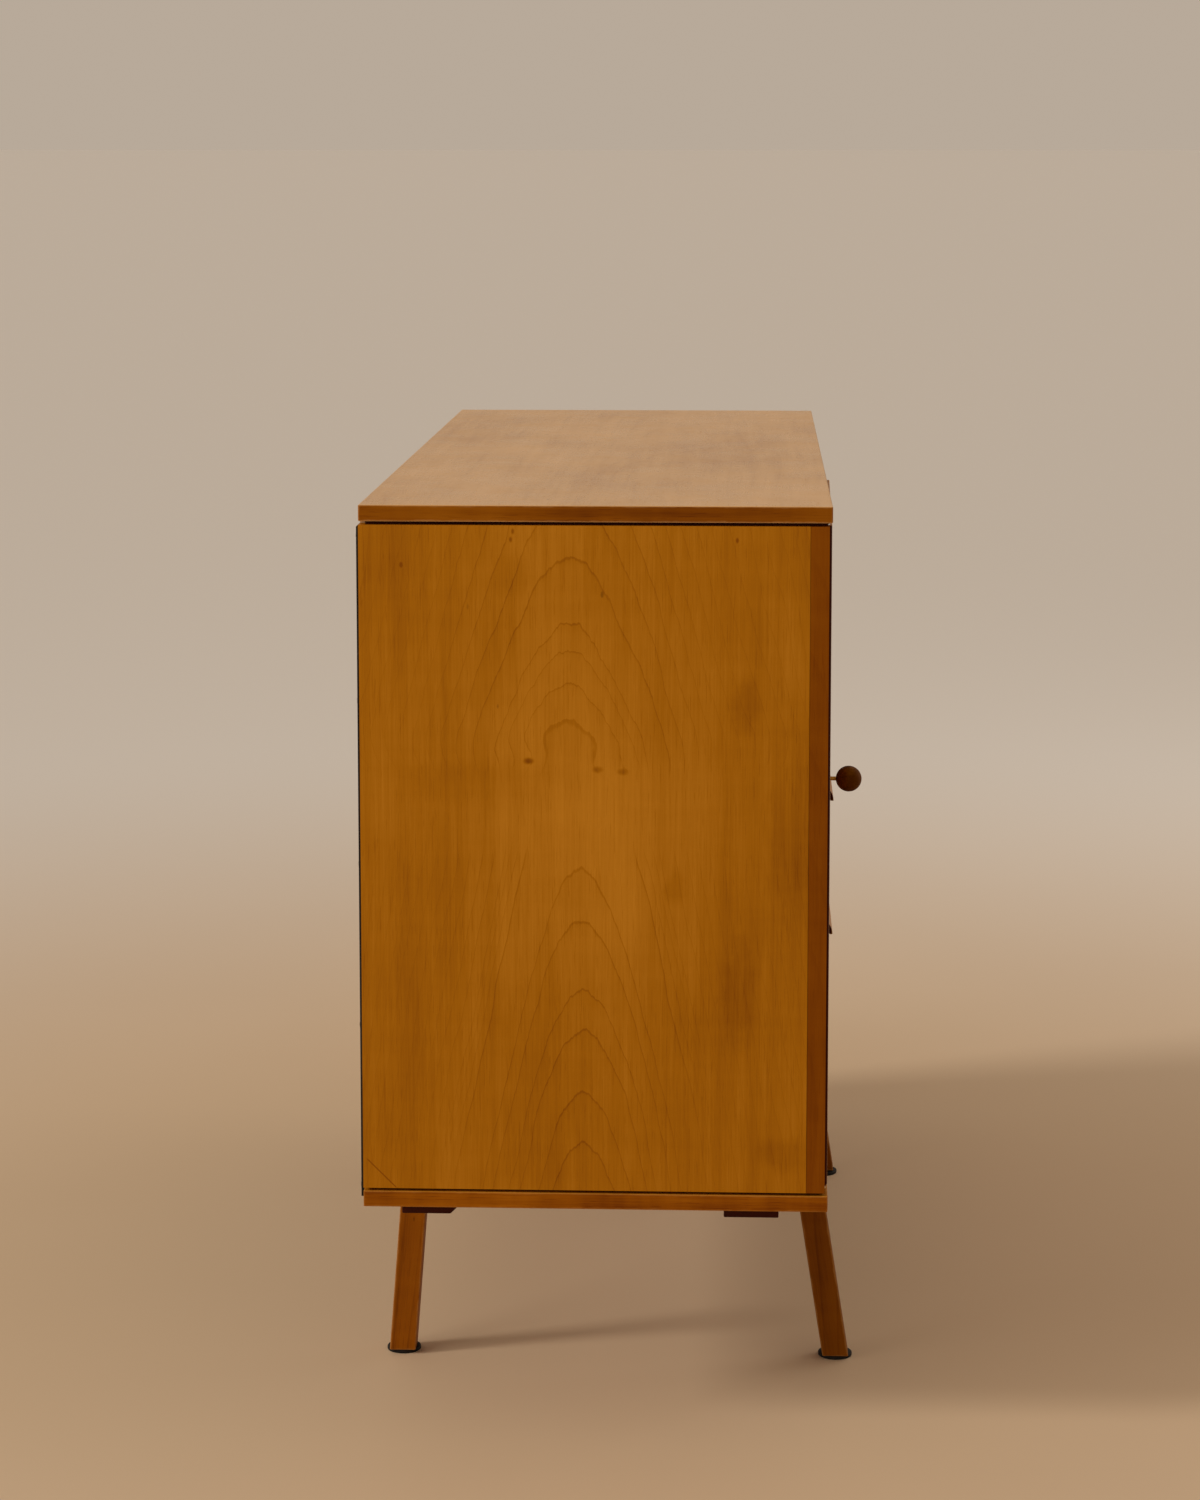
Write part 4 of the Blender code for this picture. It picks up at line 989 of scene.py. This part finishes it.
def make_controls(gold):
    """Fluted knobs with a brass insert and a pointer, over dials with ticks and channel numbers."""
    plastic = moulded("knob_plastic", (0.050, 0.018, 0.008), (0.095, 0.036, 0.014), 0.22)
    cream = enamel("cream_paint", (0.72, 0.62, 0.42), 0.5, 700.0, 0.00003, (0.30, 0.20, 0.10))
    bronze = enamel("dial_paint", (0.060, 0.038, 0.020), 0.38, 800.0, 0.00005)
    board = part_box("tv_front_panel")[0].y
    for name, body, crown, flutes, dial, stops in (
        ("channel_knob", "channel_selector", 0.0042, 20, 0.0375, 12),
        ("volume_knob", "volume_control", 0.0034, 14, 0.0245, 11),
    ):
        axis, radius, front = fluted(name, crown, flutes, 0.0011, plastic)
        insert = radius * 0.54
        place = facing((axis.x, front + 0.0012, axis.z), (0, -1, 0))
        cap = [(TIP, 0.0004), (insert * 0.3, 0.0005), (insert * 0.6, 0.00045), (insert - 0.0006, 0.0007)]
        cap += [(insert - 0.0002, 0.0006), (insert, 0.0002), (insert, -0.0004), (TIP, -0.0004)]
        show(f"{name}_insert", lathe(cap, place, 64), gold, body)
        tall = (radius - crown) * 0.98
        line = block((axis.x - 0.0006, front - 0.00008, axis.z + insert + 0.0012),
                     (axis.x + 0.0006, front + 0.0016, axis.z + tall + 0.0012))
        round_edges(show(f"{name}_pointer", line, cream, body), 0.0002, 2)

        place = facing((axis.x, board, axis.z), (0, -1, 0))
        plate = [(0.0055, 0.0), (0.0055, 0.0006), (dial - 0.0012, 0.0006), (dial - 0.0006, 0.0009)]
        plate += [(dial - 0.0001, 0.0006), (dial, 0.0)]
        show(f"{name}_dial", lathe(plate, place, 96, loop=True), bronze)
        rim = [(dial + 0.0010 * math.cos(a), 0.0003 + 0.0009 * math.sin(a)) for a in
               [2 * math.pi * i / 12 for i in range(12)]]
        show(f"{name}_rim", lathe(rim, place, 96, loop=True), gold, smooth=60.0)
        make_marks(name, axis, radius, stops, board - 0.0006, cream)


def make_marks(name, axis, radius, stops, face, paint):
    """Ticks round a dial, and on the channel dial the numbers 2 to 13."""
    marks = bmesh.new()
    spread = math.radians(300)
    for stop in range(stops):
        turn = math.pi / 2 - 2 * math.pi * stop / stops
        if stops != 12:
            turn = math.pi / 2 + spread / 2 - spread * stop / (stops - 1)
        out = Vector((math.cos(turn), 0, math.sin(turn)))
        side = Vector((-out.z, 0, out.x))
        length = 0.0018 if stops == 12 else 0.0016 + 0.0022 * stop / stops
        start, half = radius + 0.0015, 0.00035
        corners = [(start, -half), (start + length, -half), (start + length, half), (start, half)]
        points = [Vector((axis.x, 0, axis.z)) + out * reach + side * across for reach, across in corners]
        rows = [[(p.x, face + lift, p.z) for p in points] for lift in (0.0, -0.00012)]
        skin(marks, rows)
        if stops == 12:
            add_number(marks, str(stop + 2), Vector((axis.x, face, axis.z)) + out * (radius + 0.0098))
    show(f"{name}_marks", marks, paint)


def add_number(shape, text, centre, size=0.0074):
    """Adds a raised number, upright and facing the front, to a bmesh."""
    relief = 0.00006
    curve = bpy.data.curves.new("number", "FONT")
    curve.body = text
    curve.size = size
    curve.extrude = relief
    curve.resolution_u = 4
    curve.align_x = "CENTER"
    curve.align_y = "CENTER"
    letters = add_object("number", curve)
    bpy.context.view_layer.update()
    mesh = bpy.data.meshes.new_from_object(letters.evaluated_get(bpy.context.evaluated_depsgraph_get()))
    place = Matrix.Translation(centre - Vector((0, relief, 0)))
    mesh.transform(place @ Matrix.Rotation(math.pi / 2, 4, "X"))
    shape.from_mesh(mesh)
    bpy.data.meshes.remove(mesh)
    bpy.data.objects.remove(letters)
    bpy.data.curves.remove(curve)


def make_chassis(bakelite):
    """The deck, its transformer, the yoke, and the valves that show through the vents."""
    plate = metal("chassis_plate", (0.50, 0.49, 0.47), (0.22, 0.19, 0.15), 0.42, None, 0.5, 900.0)
    softened("tv_chassis", plate, 0.0004, 2)
    dark = enamel("transformer_enamel", (0.045, 0.045, 0.047), 0.42, 260.0, 0.00008)
    softened("power_transformer", dark, 0.0008)
    stand_for("deflection_yoke", cad_shape("deflection_yoke"), bakelite, 40.0)
    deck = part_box("tv_chassis")[1].z
    sockets, bulbs, pins = bmesh.new(), bmesh.new(), bmesh.new()
    glass = Look("valve_glass", 0.06, 0.5, Transmission_Weight=0.85, IOR=1.46)
    glass.colour(glass.mix(glass.noise(glass.place, 60.0, 3.0), (0.80, 0.84, 0.82), (0.35, 0.33, 0.30)))
    for x, y, radius, tall in VALVES:
        place = facing((x, y, deck), (0, 0, 1))
        foot = radius + 0.002
        lathe([(TIP, 0.010), (radius, 0.010), (foot, 0.007), (foot, 0.0), (TIP, 0.0)], place, 32, sockets)
        dome = arc((0, tall - radius), radius, 80, 0, 8)
        lathe([(0.0004, tall + 0.003)] + dome + [(radius, 0.0105), (TIP, 0.0105)], place, 32, bulbs)
        lathe([(TIP, tall * 0.78), (radius * 0.5, tall * 0.77), (radius * 0.55, tall * 0.75),
               (radius * 0.55, 0.020), (TIP, 0.018)], place, 20, pins)
    show("valve_sockets", sockets, bakelite)
    show("valve_bulbs", bulbs, glass.material)
    show("valve_anodes", pins, dark)


# ---------------- stage
def make_stage():
    floor_mesh = bpy.data.meshes.new("floor")
    reach = 900.0
    floor_mesh.from_pydata([(-reach, -reach, 0), (reach, -reach, 0), (reach, reach, 0), (-reach, reach, 0)],
                           [], [(0, 1, 2, 3)])
    look = Look("floor", 0.75, 0.2)
    cloud = look.cloud(1.1, 3.0)
    near = look.mix(cloud, (0.60, 0.440, 0.285), (0.65, 0.490, 0.330))
    far = (0.74, 0.70, 0.655)
    look.colour(look.mix(look.step(look.vector("LENGTH", look.place), 0.6, 3.6), near, far))
    floor_mesh.materials.append(look.material)
    floor = add_object("floor", floor_mesh)

    world = bpy.data.worlds.new("studio")
    world.use_nodes = True
    sky = world.node_tree.nodes["Background"]
    sky.inputs["Color"].default_value = (0.479, 0.400, 0.322, 1)
    sky.inputs["Strength"].default_value = 1.0
    bpy.context.scene.world = world

    add_light("key", "SUN", (-1.1, 3.2, 2.5), 1.2, (1.0, 0.94, 0.86)).angle = math.radians(11)
    add_light("side", "AREA", (-2.2, 2.6, 1.6), 24.0, (1.0, 0.94, 0.86)).size = 1.6
    add_light("fill", "AREA", (1.9, -3.4, 1.9), 26.0, (1.0, 0.96, 0.91)).size = 2.4


def add_light(name, kind, place, energy, lighting_tint):
    """A light at a place, aimed at the cabinet's middle."""
    light = bpy.data.lights.new(name, kind)
    light.energy = energy
    light.color = lighting_tint
    lamp = add_object(name, light)
    lamp.location = place
    lamp.rotation_euler = (Vector((0, 0, 0.5)) - Vector(place)).to_track_quat("-Z", "Y").to_euler()
    return light


def make_camera():
    """Above the top board's level, 3.3 m from the left end, looking along the cabinet."""
    yaw, pitch = math.radians(2.456), math.radians(6.943)
    look = Vector((math.cos(pitch) * math.cos(yaw), math.cos(pitch) * math.sin(yaw), -math.sin(pitch)))
    lens = bpy.data.cameras.new("camera")
    lens.sensor_width = 36.0
    lens.lens = 83.8
    lens.shift_y = -0.12
    camera = add_object("camera", lens)
    camera.location = (-3.941, -0.129, 1.282)
    camera.rotation_euler = look.to_track_quat("-Z", "Y").to_euler()
    bpy.context.scene.camera = camera
    bpy.context.scene.view_settings.view_transform = "Standard"


make_stage()
make_camera()
make_boards()
make_reveals()
make_legs()
make_pulls()
make_door_knob()
steel = make_round_metal()
make_glides()
bakelite = make_rear(steel)
make_catch(steel, bakelite)
gold = metal("gilt_brass", (0.78, 0.55, 0.24), (0.42, 0.27, 0.11), 0.22, None, 0.35)
make_screen(gold)
make_speaker()
make_controls(gold)
make_chassis(bakelite)
